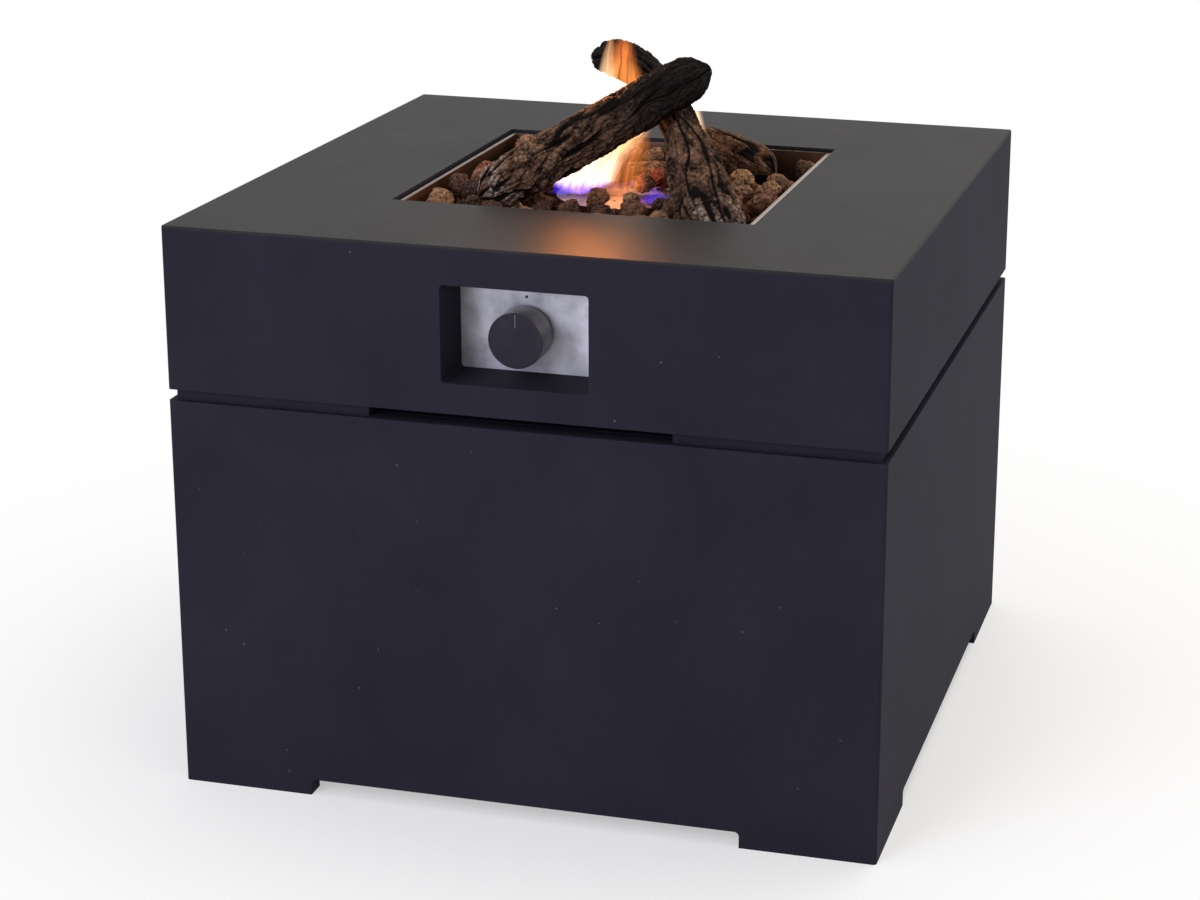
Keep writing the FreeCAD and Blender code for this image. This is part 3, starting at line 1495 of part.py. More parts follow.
def shoved_apart(chance, count, radii, blocks):
    """Places for a layer of stones: scattered over the tray, and shoved apart many times. Where
    they are still too close, they get smaller, and the very small ones are left out."""
    gap = float(s.stone_gap)
    room = float(tray_inner)
    stones = []
    for _ in range(count):
        radius = float(s.stone_radius) * (radii[0] + (radii[1] - radii[0]) * chance.random())
        stones.append([radius, room * (2 * chance.random() - 1), room * (2 * chance.random() - 1)])
    for _ in range(SHOVES):
        for index, one in enumerate(stones):
            for other in stones[:index]:
                apart = math.hypot(one[1] - other[1], one[2] - other[2]) or gap
                short = one[0] + other[0] + gap - apart
                if short > 0:
                    way_x = (one[1] - other[1]) / apart * short / 2
                    way_y = (one[2] - other[2]) / apart * short / 2
                    one[1] += way_x
                    one[2] += way_y
                    other[1] -= way_x
                    other[2] -= way_y
            pushed_off(one, blocks)
    least = float(s.stone_radius) * radii[0] * 0.8
    kept = []
    for radius, x, y in stones:
        rooms = [math.hypot(x - px, y - py) - pr - gap for pr, px, py in kept + blocks]
        radius = min([radius, room - gap - abs(x), room - gap - abs(y)] + rooms)
        if radius > least:
            kept.append((radius, x, y))
    return kept


def pilot_blocks():
    """Circles that fill the pilot bracket's plan."""
    half = float(s.pilot_width) / 2
    front, back = float(bracket_front), float(bracket_back)
    middle = (front + back) / 2
    wide = (back - front) / 2
    corners = [(0, x, y) for x in (-half, half) for y in (front, back)]
    return corners + [(wide, wide - half, middle), (wide, half - wide, middle)]


def lowest_room(upper_ones, lower_ones):
    """The least room between any of the upper skins and any of the lower ones."""
    rooms = [room_between(upper, lower) for upper in upper_ones for lower in lower_ones]
    return min((room for room in rooms if room is not None), default=None)


def lower_stones(logs):
    """The layer of stones on the tray's floor, each as high as the logs above it allow."""
    chance = random.Random(11)
    gap = float(s.stone_gap)
    bed = float(tray_floor)
    burner = (float(s.burner_radius + s.sheet_steel) + 1, 0, 0)
    blocks = [burner, *pilot_blocks()]
    for log in logs:
        blocks += footprint(log, bed - 1, bed + float(s.stone_height) / 2)
    taken = []
    stones = []
    for radius, x, y in shoved_apart(chance, int(s.lower_stones.number), LOWER_SIZES, blocks):
        tall = float(s.stone_height) * radius / float(s.stone_radius) * (0.95 + 0.25 * chance.random())
        seed = chance.random()
        least = tall * 0.35
        for _ in range(8):
            stone = stone_skin(x, y, bed, radius, tall, random.Random(seed), False)
            over = lowest_room(logs, [stone])
            if over is None or over >= gap or tall < least:
                break
            tall += over - gap - 0.05
        if tall >= least:
            stones.append(stone)
            taken.append((radius, x, y))
    return stones, taken


def ceiling_at(x, y):
    """How high stones may lie: lower in front of the burner, where the flames show."""
    by_the_flames = y < 0 and abs(x) < float(s.burner_radius)
    steps = FLAME_CEILING if by_the_flames else CEILING
    return float(tray_floor) + float(s.stone_height) * steps


def fixtures():
    """The burner as a plain disc and the pilot bracket's tab as a plain box, for the stones that
    lie on them."""
    radius = float(s.burner_radius + s.sheet_steel) + float(s.stone_gap)
    disc = [
        ring_about(Vector(0, 0, float(level)), X_AXIS, Y_AXIS, radius, 48)
        for level in (collar_top, pan_top + s.sheet_steel)
    ]
    half = float(s.pilot_width) / 2
    corners = ((-half, upright_y), (half, upright_y), (half, bracket_back), (-half, bracket_back))
    box = [[spot(x, y, level) for x, y in corners] for level in (tray_floor, tab_top)]
    return [skin(disc), skin(box)]


def upper_stones(logs, lower, taken):
    """The stones that lie in the dips between the lower ones, and a few on the burner."""
    chance = random.Random(5)
    gap = float(s.stone_gap)
    bed = float(tray_floor)
    high = bed + float(s.stone_height) * 3
    blocks = [(float(s.probe_radius) + 2, side * float(s.probe_offset), float(pilot_y)) for side in (-1, 1)]
    for log in logs:
        blocks += footprint(log, bed + float(s.stone_height) / 2, bed + float(s.stone_height) * 1.6)
    plain = fixtures()
    on_burner = 0
    stones = []
    for radius, x, y in shoved_apart(chance, int(s.upper_stones.number), UPPER_SIZES, blocks):
        inside = math.hypot(x, y) < float(s.burner_radius) - radius * 0.4
        on_burner += inside
        if inside and on_burner > BURNER_STONES:
            continue
        near = [
            stone for stone, (pr, px, py) in zip(lower, taken) if math.hypot(x - px, y - py) < radius + pr
        ]
        tall = float(s.stone_height) * radius / float(s.stone_radius) * (0.85 + 0.25 * chance.random())
        seed = chance.random()
        least = tall * 0.45
        for _ in range(4):
            stone = stone_skin(x, y, high, radius, tall, random.Random(seed), not inside)
            drop = lowest_room([stone], near + plain)
            if drop is None:
                break
            above = extent(stone, 2)[1] + gap - drop - ceiling_at(x, y)
            if above <= 0:
                break
            tall -= above + 0.1
        if drop is None or tall < least or high - drop < bed + float(s.stone_height) / 3:
            continue
        stone = moved(stone, Vector(0, 0, gap - drop))
        over = lowest_room(logs, [stone])
        if over is None or over >= gap:
            stones.append(stone)
    return stones


def fire_bed():
    """The logs, the chunk and the two layers of lava stones round them."""
    logs = [*leaning_logs(), burnt_chunk()]
    lower, taken = lower_stones(logs)
    logs.append(rear_log(lower + logs))
    upper = upper_stones(logs, lower, taken)
    names = ("log_front", "log_standing", "log_crossing", "log_chunk", "log_rear")
    logs_made = [solid(name, solid_of(facets)) for name, facets in zip(names, logs)]
    layers = {"lava_stones_lower": lower, "lava_stones_upper": upper}
    beds = [
        solid(name, Part.makeCompound([solid_of(stone) for stone in stones]))
        for name, stones in layers.items()
    ]
    return logs_made + beds


nodes = [
    base_casing(),
    top_casing(),
    slab_inserts(),
    burner_tray(),
    tray_rail("tray_rail_left", -1),
    tray_rail("tray_rail_right", 1),
    rail_screws(),
    control_plate(),
    plate_screws(),
    gas_knob(),
    knob_clip(),
    valve_spindle(),
    push_collar(),
    return_spring(),
    bonnet_cap(),
    valve_lock_nut(),
    gas_valve_body(),
    piezo_bracket(),
    piezo_igniter(),
    piezo_screws(),
    ignition_lead(),
    electrode_ceramic(),
    electrode_tip(),
    thermocouple_probe(),
    thermocouple_lead(),
    thermocouple_nut(),
    pilot_bracket(),
    bracket_screws(),
    bracket_nuts(),
    inlet_union_nut(),
    inlet_hose_tail(),
    outlet_nut(),
    outlet_tube(),
    elbow_nut(),
    injector_elbow(),
    injector_jet(),
    air_mixer(),
    burner_nipple(),
    burner_nut("burner_lock_nut", nut_low),
    burner_nut("burner_top_nut", pan_floor),
    burner_pan(),
    burner_cover(),
    *fire_bed(),
]
doc.recompute()

for item in doc.Objects:
    if {"Invalid", "Error"} & set(item.State):
        raise ValueError(f"{item.Label} has failed: {item.State}")
for node in nodes:
    if node.Shape.isNull() or not node.Shape.isValid():
        raise ValueError(f"{node.Label} has no valid shape")
for node in nodes:
    node.Shape.exportStep(f"parts/{node.Label}.step")
print(len(nodes), "pieces written")
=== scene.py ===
import itertools
import math

import bpy
import numpy as np
from mathutils import Matrix, Vector


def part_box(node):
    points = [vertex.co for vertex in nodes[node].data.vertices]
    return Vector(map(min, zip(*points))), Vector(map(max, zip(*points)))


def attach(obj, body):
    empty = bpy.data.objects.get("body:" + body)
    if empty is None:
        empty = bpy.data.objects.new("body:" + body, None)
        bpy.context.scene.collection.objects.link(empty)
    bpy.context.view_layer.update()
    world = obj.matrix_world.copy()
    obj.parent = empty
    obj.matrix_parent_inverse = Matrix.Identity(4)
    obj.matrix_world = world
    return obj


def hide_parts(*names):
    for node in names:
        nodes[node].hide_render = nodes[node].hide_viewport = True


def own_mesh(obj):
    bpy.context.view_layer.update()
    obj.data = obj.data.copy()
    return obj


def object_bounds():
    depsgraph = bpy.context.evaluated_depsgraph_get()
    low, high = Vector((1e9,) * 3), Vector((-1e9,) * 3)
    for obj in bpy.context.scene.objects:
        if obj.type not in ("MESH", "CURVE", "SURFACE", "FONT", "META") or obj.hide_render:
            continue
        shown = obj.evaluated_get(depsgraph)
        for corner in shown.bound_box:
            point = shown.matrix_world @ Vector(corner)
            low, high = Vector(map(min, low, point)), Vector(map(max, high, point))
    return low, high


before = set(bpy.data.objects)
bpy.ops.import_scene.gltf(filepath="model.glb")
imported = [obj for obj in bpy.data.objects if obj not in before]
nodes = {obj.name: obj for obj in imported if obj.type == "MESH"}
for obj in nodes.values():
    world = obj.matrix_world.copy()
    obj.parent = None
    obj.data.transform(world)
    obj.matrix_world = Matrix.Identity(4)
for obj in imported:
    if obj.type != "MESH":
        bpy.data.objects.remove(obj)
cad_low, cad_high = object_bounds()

# The casings: a base on four corner feet and a top slab with its skirt, cast in black-dyed
# fibre concrete. Their sides have the mould's smooth face, and the top is rubbed by hand with
# a sealer, which leaves it streaky and half glossy. The top is painted paler and the sides a
# darker violet: painted light and painted shade for how the light falls on them.
MM = 0.001
SIDE_COLOUR_PAINTED_SHADE = "#25232E"
TOP_COLOUR_PAINTED_LIGHT = "#2C2B2B"
PALE_FIBRE = "#77737A"
CONCRETE_MOTTLE_MM = 90
CONCRETE_GRAIN_MM = 1.6
STREAK_LENGTH_MM = 140
STREAK_WIDTH_MM = 2.6
SPECK_SPACING_MM = 17
PINHOLE_SPACING_MM = 11
SOFT_EDGE = 3 * MM
top_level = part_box("top_casing")[1].z


def linear(code):
    """A colour from an sRGB hex code: each channel is undone by the sRGB curve."""
    shares = [int(code[n : n + 2], 16) / 255 for n in (1, 3, 5)]
    return (*[c / 12.92 if c <= 0.04045 else ((c + 0.055) / 1.055) ** 2.4 for c in shares], 1.0)


def per(size_mm):
    """The texture scale whose features are about this many millimetres wide."""
    return 1000 / size_mm


def fill(tree, node, inputs):
    """Gives a node its inputs, by name or in their order. Each is a value, a socket or another
    node, which stands for the first of its outputs that is in use."""
    if isinstance(inputs, dict):
        sockets = [node.inputs[name] for name in inputs]
        inputs = inputs.values()
    else:
        sockets = [socket for socket in node.inputs if socket.enabled]
    for socket, value in zip(sockets, inputs):
        if isinstance(value, bpy.types.Node):
            value = next(output for output in value.outputs if output.enabled)
        if isinstance(value, bpy.types.NodeSocket):
            tree.links.new(value, socket)
        else:
            socket.default_value = value


def add(tree, kind, inputs=(), **settings):
    """A shader node with its settings and its inputs."""
    node = tree.nodes.new("ShaderNode" + kind)
    for name, value in settings.items():
        setattr(node, name, value)
    fill(tree, node, inputs)
    return node


def new_material(name):
    """A material with its node tree, its Principled shader and the object's own coordinates."""
    made = bpy.data.materials.new(name)
    made.use_nodes = True
    tree = made.node_tree
    return made, tree, tree.nodes["Principled BSDF"], add(tree, "TexCoord").outputs["Object"]


def spots(tree, cells, size, picked, channel="Red"):
    """Soft spots in the middles of some of a Voronoi texture's cells: 1 inside and 0 outside.
    Size and picked are the ranges of the distance and of the cell's chance that they fade over."""
    chance = add(tree, "SeparateColor", [cells.outputs["Color"]]).outputs[channel]
    chance = add(tree, "MapRange", [chance, *picked])
    near = add(tree, "MapRange", [cells, *size])
    return add(tree, "Math", [near, chance], operation="MULTIPLY")


def finish(material, *names):
    """Gives the material to CAD nodes, all over."""
    for name in names:
        nodes[name].data.materials.clear()
        nodes[name].data.materials.append(material)


concrete, tree, shader, place = new_material("cast_fibre_concrete")
level = add(tree, "SeparateXYZ", [place]).outputs["Z"]
on_top = add(tree, "MapRange", [level, top_level - SOFT_EDGE, top_level - SOFT_EDGE / 3])
mottle = add(tree, "TexNoise", {"Vector": place, "Scale": per(CONCRETE_MOTTLE_MM), "Detail": 5.0})
grain = add(tree, "TexNoise", {"Vector": place, "Scale": per(CONCRETE_GRAIN_MM), "Detail": 3.0})
upright = (per(STREAK_WIDTH_MM), per(STREAK_WIDTH_MM), per(STREAK_LENGTH_MM))
upright = add(tree, "Mapping", {"Vector": place, "Scale": upright})
side_streaks = add(tree, "TexNoise", {"Vector": upright, "Detail": 4.0}).outputs["Color"]
lengthwise = (per(STREAK_LENGTH_MM), per(STREAK_WIDTH_MM), per(STREAK_LENGTH_MM))
lengthwise = add(tree, "Mapping", {"Vector": place, "Scale": lengthwise})
top_streaks = add(tree, "TexNoise", {"Vector": lengthwise, "Detail": 4.0}).outputs["Color"]
streak = add(tree, "Mix", [on_top, side_streaks, top_streaks], data_type="RGBA")
streak = add(tree, "SeparateColor", [streak])

# painted light and shade: the top gets a paler grey and the sides a darker violet
colour = add(tree, "Mix", [on_top, linear(SIDE_COLOUR_PAINTED_SHADE), linear(TOP_COLOUR_PAINTED_LIGHT)], data_type="RGBA")
mottle_shade = add(tree, "MapRange", [mottle, 0.3, 0.7, 0.86, 1.08])
streak_shade = add(tree, "MapRange", [streak, 0.3, 0.7, -0.09, 0.12])
shade = add(tree, "Math", [mottle_shade, streak_shade], operation="ADD")
shade = add(tree, "CombineColor", [shade, shade, shade])
colour = add(tree, "Mix", [1.0, colour, shade], data_type="RGBA", blend_type="MULTIPLY")
specks = add(tree, "TexVoronoi", {"Vector": place, "Scale": per(SPECK_SPACING_MM)})
speck = spots(tree, specks, (0.055, 0.03), (0.72, 0.74))
speck = add(tree, "Math", [speck, 0.55], operation="MULTIPLY")
colour = add(tree, "Mix", [speck, colour, linear(PALE_FIBRE)], data_type="RGBA")

half_gloss = add(tree, "MapRange", [on_top, 0, 1, 0.64, 0.46])
uneven = add(tree, "MapRange", [streak, 0.3, 0.7, -0.05, 0.07])
roughness = add(tree, "Math", [half_gloss, uneven], operation="ADD")
pinholes = add(tree, "TexVoronoi", {"Vector": place, "Scale": per(PINHOLE_SPACING_MM)})
pinhole = spots(tree, pinholes, (0.09, 0.02), (0.8, 0.82), "Green")
grain_height = add(tree, "Math", [grain, 0.25], operation="MULTIPLY")
streak_height = add(tree, "Math", [streak, 0.2], operation="MULTIPLY")
relief = add(tree, "Math", [grain_height, streak_height], operation="ADD")
relief = add(tree, "Math", [relief, pinhole], operation="SUBTRACT")
bump = add(tree, "Bump", {"Strength": 0.35, "Distance": 0.4 * MM, "Height": relief})
fill(tree, shader, {"Base Color": colour, "Roughness": roughness, "Normal": bump})
shader.inputs["Specular IOR Level"].default_value = 0.045
finish(concrete, "base_casing", "top_casing")

# The control plate closes the back of the recess: 1.5 mm stainless sheet, brushed upright,
# with a hazy sheen. A small etched dot over the knob marks its off position.
BRUSHED_SHEET = "#CFCDDA"
BRUSH_LINE_MM = 0.5
BRUSH_LENGTH_MM = 60
HAZE_MM = 26
plate_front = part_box("control_plate")[0].y
knob_low, knob_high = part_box("gas_knob")
knob_centre = (knob_low + knob_high) / 2


def brushed_metal(name, code, lines, haze_mm, roughness, dirt=0.12):
    """Metal with fine parallel brush lines: a noise stretched along them sets bump and
    roughness, and a broad one clouds the colour."""
    made, tree, shader, place = new_material(name)
    along = add(tree, "Mapping", {"Vector": place, "Scale": tuple(per(length) for length in lines)})
    brush = add(tree, "TexNoise", {"Vector": along, "Detail": 5.0})
    haze = add(tree, "TexNoise", {"Vector": place, "Scale": per(haze_mm), "Detail": 4.0})
    cloud = add(tree, "MapRange", [haze, 0.34, 0.62, 1 - dirt, 1.0])
    line_shade = add(tree, "MapRange", [brush, 0.3, 0.7, 0.9, 1.0])
    shade = add(tree, "Math", [cloud, line_shade], operation="MULTIPLY")
    shade = add(tree, "CombineColor", [shade, shade, shade])
    colour = add(tree, "Mix", [1.0, linear(code), shade], data_type="RGBA", blend_type="MULTIPLY")
    rough_lines = add(tree, "MapRange", [brush, 0.3, 0.7, roughness - 0.05, roughness + 0.07])
    rough_haze = add(tree, "MapRange", [haze, 0.3, 0.7, 0.05, -0.03])
    uneven = add(tree, "Math", [rough_lines, rough_haze], operation="ADD")
    bump = add(tree, "Bump", {"Strength": 0.2, "Distance": 0.05 * MM, "Height": brush})
    fill(tree, shader, {"Base Color": colour, "Roughness": uneven, "Normal": bump})
    shader.inputs["Metallic"].default_value = 1.0
    return made


plate_lines = (BRUSH_LINE_MM, BRUSH_LINE_MM, BRUSH_LENGTH_MM)
plate_steel = brushed_metal("brushed_stainless_sheet", BRUSHED_SHEET, plate_lines, HAZE_MM, 0.52, 0.42)
finish(plate_steel, "control_plate")

DOT_RADIUS = 1.3 * MM
DOT_ABOVE_KNOB = 6 * MM
ETCH_THICKNESS = 0.05 * MM
ETCH_GRAIN_MM = 0.6
ETCH_DARK = "#24232A"
ETCH_PALE = "#3A383F"


def mesh_piece(name, points, faces, material, body, slot=None):
    """A piece from arrays of points and faces: smooth, and riding on a body."""
    mesh = bpy.data.meshes.new(name)
    mesh.from_pydata(points.tolist(), [], faces)
    mesh.shade_smooth()
    mesh.materials.append(material)
    piece = bpy.data.objects.new(name, mesh)
    bpy.context.scene.collection.objects.link(piece)
    if body:
        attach(piece, body)
    return piece


def closed_faces(rings, count, first=0):
    """Quads between neighbouring rings of points, and a fan from each end ring to a pole.
    The points are numbered ring by ring, with the first and the last pole after them."""
    ring = first + np.arange(rings * count).reshape(rings, count)
    beside = np.roll(ring, -1, axis=1)
    quads = np.stack([ring[:-1], beside[:-1], beside[1:], ring[1:]], -1).reshape(-1, 4)
    pole = first + rings * count
    start = np.stack([beside[0], ring[0], np.full(count, pole)], -1)
    end = np.stack([ring[-1], beside[-1], np.full(count, pole + 1)], -1)
    return quads.tolist() + start.tolist() + end.tolist()


def turned(profile, centre, axis, count=64):
    """A surface of revolution: each point of the profile (distance along the axis, radius)
    goes once round the axis. The first and the last point lie on the axis."""
    ahead = Vector(axis).normalized()
    side = ahead.orthogonal().normalized()
    over = ahead.cross(side)
    angles = np.linspace(0, 2 * math.pi, count, endpoint=False)
    spokes = np.cos(angles)[:, None] * np.array(side) + np.sin(angles)[:, None] * np.array(over)
    profile = np.array(profile)
    spine = np.array(centre) + profile[:, :1] * np.array(ahead)
    rings = spine[1:-1, None, :] + profile[1:-1, 1, None, None] * spokes
    points = np.concatenate([rings.reshape(-1, 3), spine[[0, -1]]])
    return points, closed_faces(len(profile) - 2, count)


etching, tree, shader, place = new_material("dark_etching_on_steel")
etch_noise = add(tree, "TexNoise", {"Vector": place, "Scale": per(ETCH_GRAIN_MM)})
colour = add(tree, "Mix", [etch_noise, linear(ETCH_DARK), linear(ETCH_PALE)], data_type="RGBA")
fill(tree, shader, {"Base Color": colour})
shader.inputs["Roughness"].default_value = 0.6
dot_centre = (knob_centre.x, plate_front, knob_high.z + DOT_ABOVE_KNOB)
dot_profile = [
    (0, 0),
    (0, DOT_RADIUS),
    (ETCH_THICKNESS, DOT_RADIUS - ETCH_THICKNESS),
    (ETCH_THICKNESS, 0),
]
dot = turned(dot_profile, dot_centre, (0, -1, 0))
mesh_piece("plate_index_dot", *dot, etching, "casing", "knob_black")

# The knob: turned aluminium, 46 mm across, anodised black. Its face is matt, its side is bare
# and satin where fingers have polished it, and a thin pale pointer line runs in from the rim.
FACE_BLACK = "#211E29"
FACE_SMUDGE = "#292630"
SIDE_GREY = "#807D77"
SIDE_SMUDGE = "#605E5A"
TURNING_RING_MM = 0.35
SMUDGE_MM = 12
FACE_EDGE_LOW = 0.1 * MM
FACE_EDGE_HIGH = 0.7 * MM
knob_finish, tree, shader, place = new_material("satin_black_anodised_aluminium")
centred = add(tree, "Mapping", {"Vector": place, "Location": tuple(-knob_centre)})
parts = add(tree, "SeparateXYZ", [centred]).outputs
from_axis = add(tree, "CombineXYZ", {"X": parts["X"], "Z": parts["Z"]})
radius = add(tree, "VectorMath", [from_axis], operation="LENGTH")
ring_place = add(tree, "CombineXYZ", [radius, parts["Y"]])
rings = add(tree, "TexNoise", {"Vector": ring_place, "Scale": per(TURNING_RING_MM), "Detail": 3.0})
face_y = (knob_low.y - knob_high.y) / 2
on_side = add(tree, "MapRange", [parts["Y"], face_y + FACE_EDGE_LOW, face_y + FACE_EDGE_HIGH])
smudge = add(tree, "TexNoise", {"Vector": place, "Scale": per(SMUDGE_MM), "Detail": 4.0})
smudge = add(tree, "MapRange", [smudge, 0.35, 0.7])
face = add(tree, "Mix", [smudge, linear(FACE_BLACK), linear(FACE_SMUDGE)], data_type="RGBA")
side = add(tree, "Mix", [smudge, linear(SIDE_GREY), linear(SIDE_SMUDGE)], data_type="RGBA")
colour = add(tree, "Mix", [on_side, face, side], data_type="RGBA")
polish = add(tree, "MapRange", [on_side, 0, 1, 0.6, 0.3])
uneven = add(tree, "MapRange", [rings, 0.3, 0.7, -0.04, 0.04])
roughness = add(tree, "Math", [polish, uneven], operation="ADD")
bump = add(tree, "Bump", {"Strength": 0.08, "Distance": 0.02 * MM, "Height": rings})
surface = {"Base Color": colour, "Metallic": on_side, "Roughness": roughness, "Normal": bump}
fill(tree, shader, surface)
shader.inputs["Specular IOR Level"].default_value = 0.15
finish(knob_finish, "gas_knob")

POINTER_PALE = "#6A6670"
POINTER_WORN = "#4C4953"
POINTER_LENGTH = 11 * MM
POINTER_WIDTH = 0.9 * MM
POINTER_INSET = 1.2 * MM
POINTER_WEAR_MM = 1.2
pointer_paint, tree, shader, place = new_material("pale_pointer_paint")
wear = add(tree, "TexNoise", {"Vector": place, "Scale": per(POINTER_WEAR_MM), "Detail": 3.0})
wear = add(tree, "MapRange", [wear, 0.35, 0.65])
colour = add(tree, "Mix", [wear, linear(POINTER_PALE), linear(POINTER_WORN)], data_type="RGBA")
fill(tree, shader, {"Base Color": colour})
shader.inputs["Roughness"].default_value = 0.55


def slab(low, high, bevel):
    """A thin block with its long edges turned over: two rings of four corners and two poles,
    the outer ring drawn in by the bevel."""
    low, high = np.array(low), np.array(high)
    signs = np.array([(-1, -1), (1, -1), (1, 1), (-1, 1)])
    middle, half = (low + high) / 2, (high - low) / 2
    back = np.stack([signs[:, 0] * half[0], np.full(4, half[1]), signs[:, 1] * half[2]], -1)
    front = back * (1, -1, 1) - np.stack([signs[:, 0], np.zeros(4), signs[:, 1]], -1) * bevel
    poles = np.array([(0, half[1], 0), (0, -half[1], 0)])
    return middle + np.concatenate([back, front, poles]), closed_faces(2, 4)


pointer_top = knob_high.z - POINTER_INSET
half_line = np.array((POINTER_WIDTH / 2, 0, 0))
pointer_low = (knob_centre.x, knob_low.y - ETCH_THICKNESS, pointer_top - POINTER_LENGTH) - half_line
pointer_high = (knob_centre.x, knob_low.y + ETCH_THICKNESS, pointer_top) + half_line
pointer = slab(pointer_low, pointer_high, ETCH_THICKNESS)
mesh_piece("knob_pointer_line", *pointer, pointer_paint, "knob", "knob_black")

# The burner tray: 1.2 mm stainless sheet, folded deep with a hemmed rim. The fire tints the rim,
# the walls and the floor from straw to brown. The rim's outer edge keeps the plain steel colour,
# a painted highlight along the sheet's edge, and the floor is painted darker, painted shade
# among the stones.
EDGE_HIGHLIGHT_STEEL = "#A5A09A"
HEAT_BROWN = "#5E483B"
HEAT_STRAW = "#8C715E"
FLOOR_SHADE_COLOUR = "#2A211C"
HIGHLIGHT_EDGE_WIDTH = 1.0 * MM
RIM_TOP = 0.8 * MM
RIM_FOOT = 2.2 * MM
STRAW_DEPTH = 2 * MM
BROWN_DEPTH = 14 * MM
FLOOR_SHADE_LOW = 3 * MM
FLOOR_SHADE_HIGH = 12 * MM
TRAY_BRUSH_MM = 0.7
TRAY_BRUSH_LENGTH_MM = 40
TRAY_CLOUD_MM = 45
tray_low, tray_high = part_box("burner_tray")
tray_finish, tree, shader, place = new_material("heat_tinted_stainless_tray")
parts = add(tree, "SeparateXYZ", [place]).outputs
level = parts["Z"]
aside = [add(tree, "Math", [parts[axis]], operation="ABSOLUTE") for axis in ("X", "Y")]
from_middle = add(tree, "Math", aside, operation="MAXIMUM")
sideways = (per(TRAY_BRUSH_LENGTH_MM), per(TRAY_BRUSH_LENGTH_MM), per(TRAY_BRUSH_MM))
sideways = add(tree, "Mapping", {"Vector": place, "Scale": sideways})
brush = add(tree, "TexNoise", {"Vector": sideways, "Detail": 4.0})
cloud = add(tree, "TexNoise", {"Vector": place, "Scale": per(TRAY_CLOUD_MM), "Detail": 4.0})
cloud = add(tree, "MapRange", [cloud, 0.3, 0.7, -0.25, 0.25])
depth = add(tree, "MapRange", [level, tray_high.z - STRAW_DEPTH, tray_high.z - BROWN_DEPTH])
depth = add(tree, "Math", [depth, cloud], operation="ADD")
depth = add(tree, "MapRange", [depth, 0.2, 1.0])
tint = add(tree, "Mix", [depth, linear(HEAT_STRAW), linear(HEAT_BROWN)], data_type="RGBA")
# painted shade: the floor's colour darkens towards the bottom of the tray, for the shade among the
# stones
floor_shade_share = add(tree, "MapRange", [level, tray_low.z + FLOOR_SHADE_HIGH, tray_low.z + FLOOR_SHADE_LOW, 0, 0.85])
tint = add(tree, "Mix", [floor_shade_share, tint, linear(FLOOR_SHADE_COLOUR)], data_type="RGBA")
# painted highlight: the rim's outer edge keeps bright steel, for the light along the sheet's edge
edge = tray_high.x - HIGHLIGHT_EDGE_WIDTH
on_rim = add(tree, "MapRange", [level, tray_high.z - RIM_FOOT, tray_high.z - RIM_TOP])
on_highlight_edge = add(tree, "MapRange", [from_middle, edge - 0.3 * MM, edge + 0.2 * MM])
bright = add(tree, "Math", [on_rim, on_highlight_edge], operation="MULTIPLY")
colour = add(tree, "Mix", [bright, tint, linear(EDGE_HIGHLIGHT_STEEL)], data_type="RGBA")
roughness = add(tree, "MapRange", [brush, 0.3, 0.7, 0.24, 0.4])
bump = add(tree, "Bump", {"Strength": 0.2, "Distance": 0.05 * MM, "Height": brush})
fill(tree, shader, {"Base Color": colour, "Roughness": roughness, "Normal": bump})
shader.inputs["Metallic"].default_value = 1.0
finish(tray_finish, "burner_tray")

# The burner: a pressed stainless pan with a ported cover, tinted blue-brown by its flames, on
# a steel nipple with two nuts. The pilot bracket beside it has the same tint.
BURNER_TINTS = ((0.25, "#6E625E"), (0.45, "#7E5A3E"), (0.6, "#4E3A40"))
BURNER_TINT_MM = 22
SCRATCH_MM = (1, 25, 4)


def ramp_of(tree, value, stops):
    """A colour ramp along a value, with stops of position and colour."""
    node = add(tree, "ValToRGB", [value])
    elements = node.color_ramp.elements
    elements.remove(elements[1])
    elements[0].position = stops[0][0]
    for position, _ in stops[1:]:
        elements.new(position)
    for element, (_, code) in zip(elements, stops):
        element.color = linear(code)
    return node


burner_finish, tree, shader, place = new_material("flame_tinted_stainless_burner")
clouds = {"Vector": place, "Scale": per(BURNER_TINT_MM), "Detail": 4.0, "Distortion": 0.6}
tints = ramp_of(tree, add(tree, "TexNoise", clouds), BURNER_TINTS)
across = add(tree, "Mapping", {"Vector": place, "Scale": tuple(per(size) for size in SCRATCH_MM)})
scratches = add(tree, "TexNoise", {"Vector": across})
roughness = add(tree, "MapRange", [scratches, 0.3, 0.7, 0.42, 0.6])
bump = add(tree, "Bump", {"Strength": 0.2, "Distance": 0.06 * MM, "Height": scratches})
fill(tree, shader, {"Base Color": tints, "Roughness": roughness, "Normal": bump})
shader.inputs["Metallic"].default_value = 1.0
finish(
    burner_finish,
    "burner_cover",
    "burner_pan",
    "pilot_bracket",
    "thermocouple_probe",
    "electrode_tip",
)

# Rails, screws, nuts, brackets and the mixing tube: cold-rolled steel, zinc plated, with the
# faint cloudy spangle that plating leaves.
zinc = brushed_metal("zinc_plated_steel", "#A9ABAE", (9, 9, 9), 30, 0.38, 0.3)
finish(
    zinc,
    "tray_rail_left",
    "tray_rail_right",
    "rail_screws",
    "plate_screws",
    "piezo_bracket",
    "piezo_screws",
    "bracket_screws",
    "bracket_nuts",
    "air_mixer",
    "burner_nipple",
    "burner_lock_nut",
    "burner_top_nut",
    "knob_clip",
)

# The return spring lifts the pressed knob again: zinc-plated wire wound in four turns round the
# spindle. Its back end stands on the valve, and its front end meets the push collar.
SPRING_TURNS = 4
WIRE_RADIUS = 0.5 * MM
SPRING_STEPS = 160
WIRE_SIDES = 12
spring_low, spring_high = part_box("return_spring")


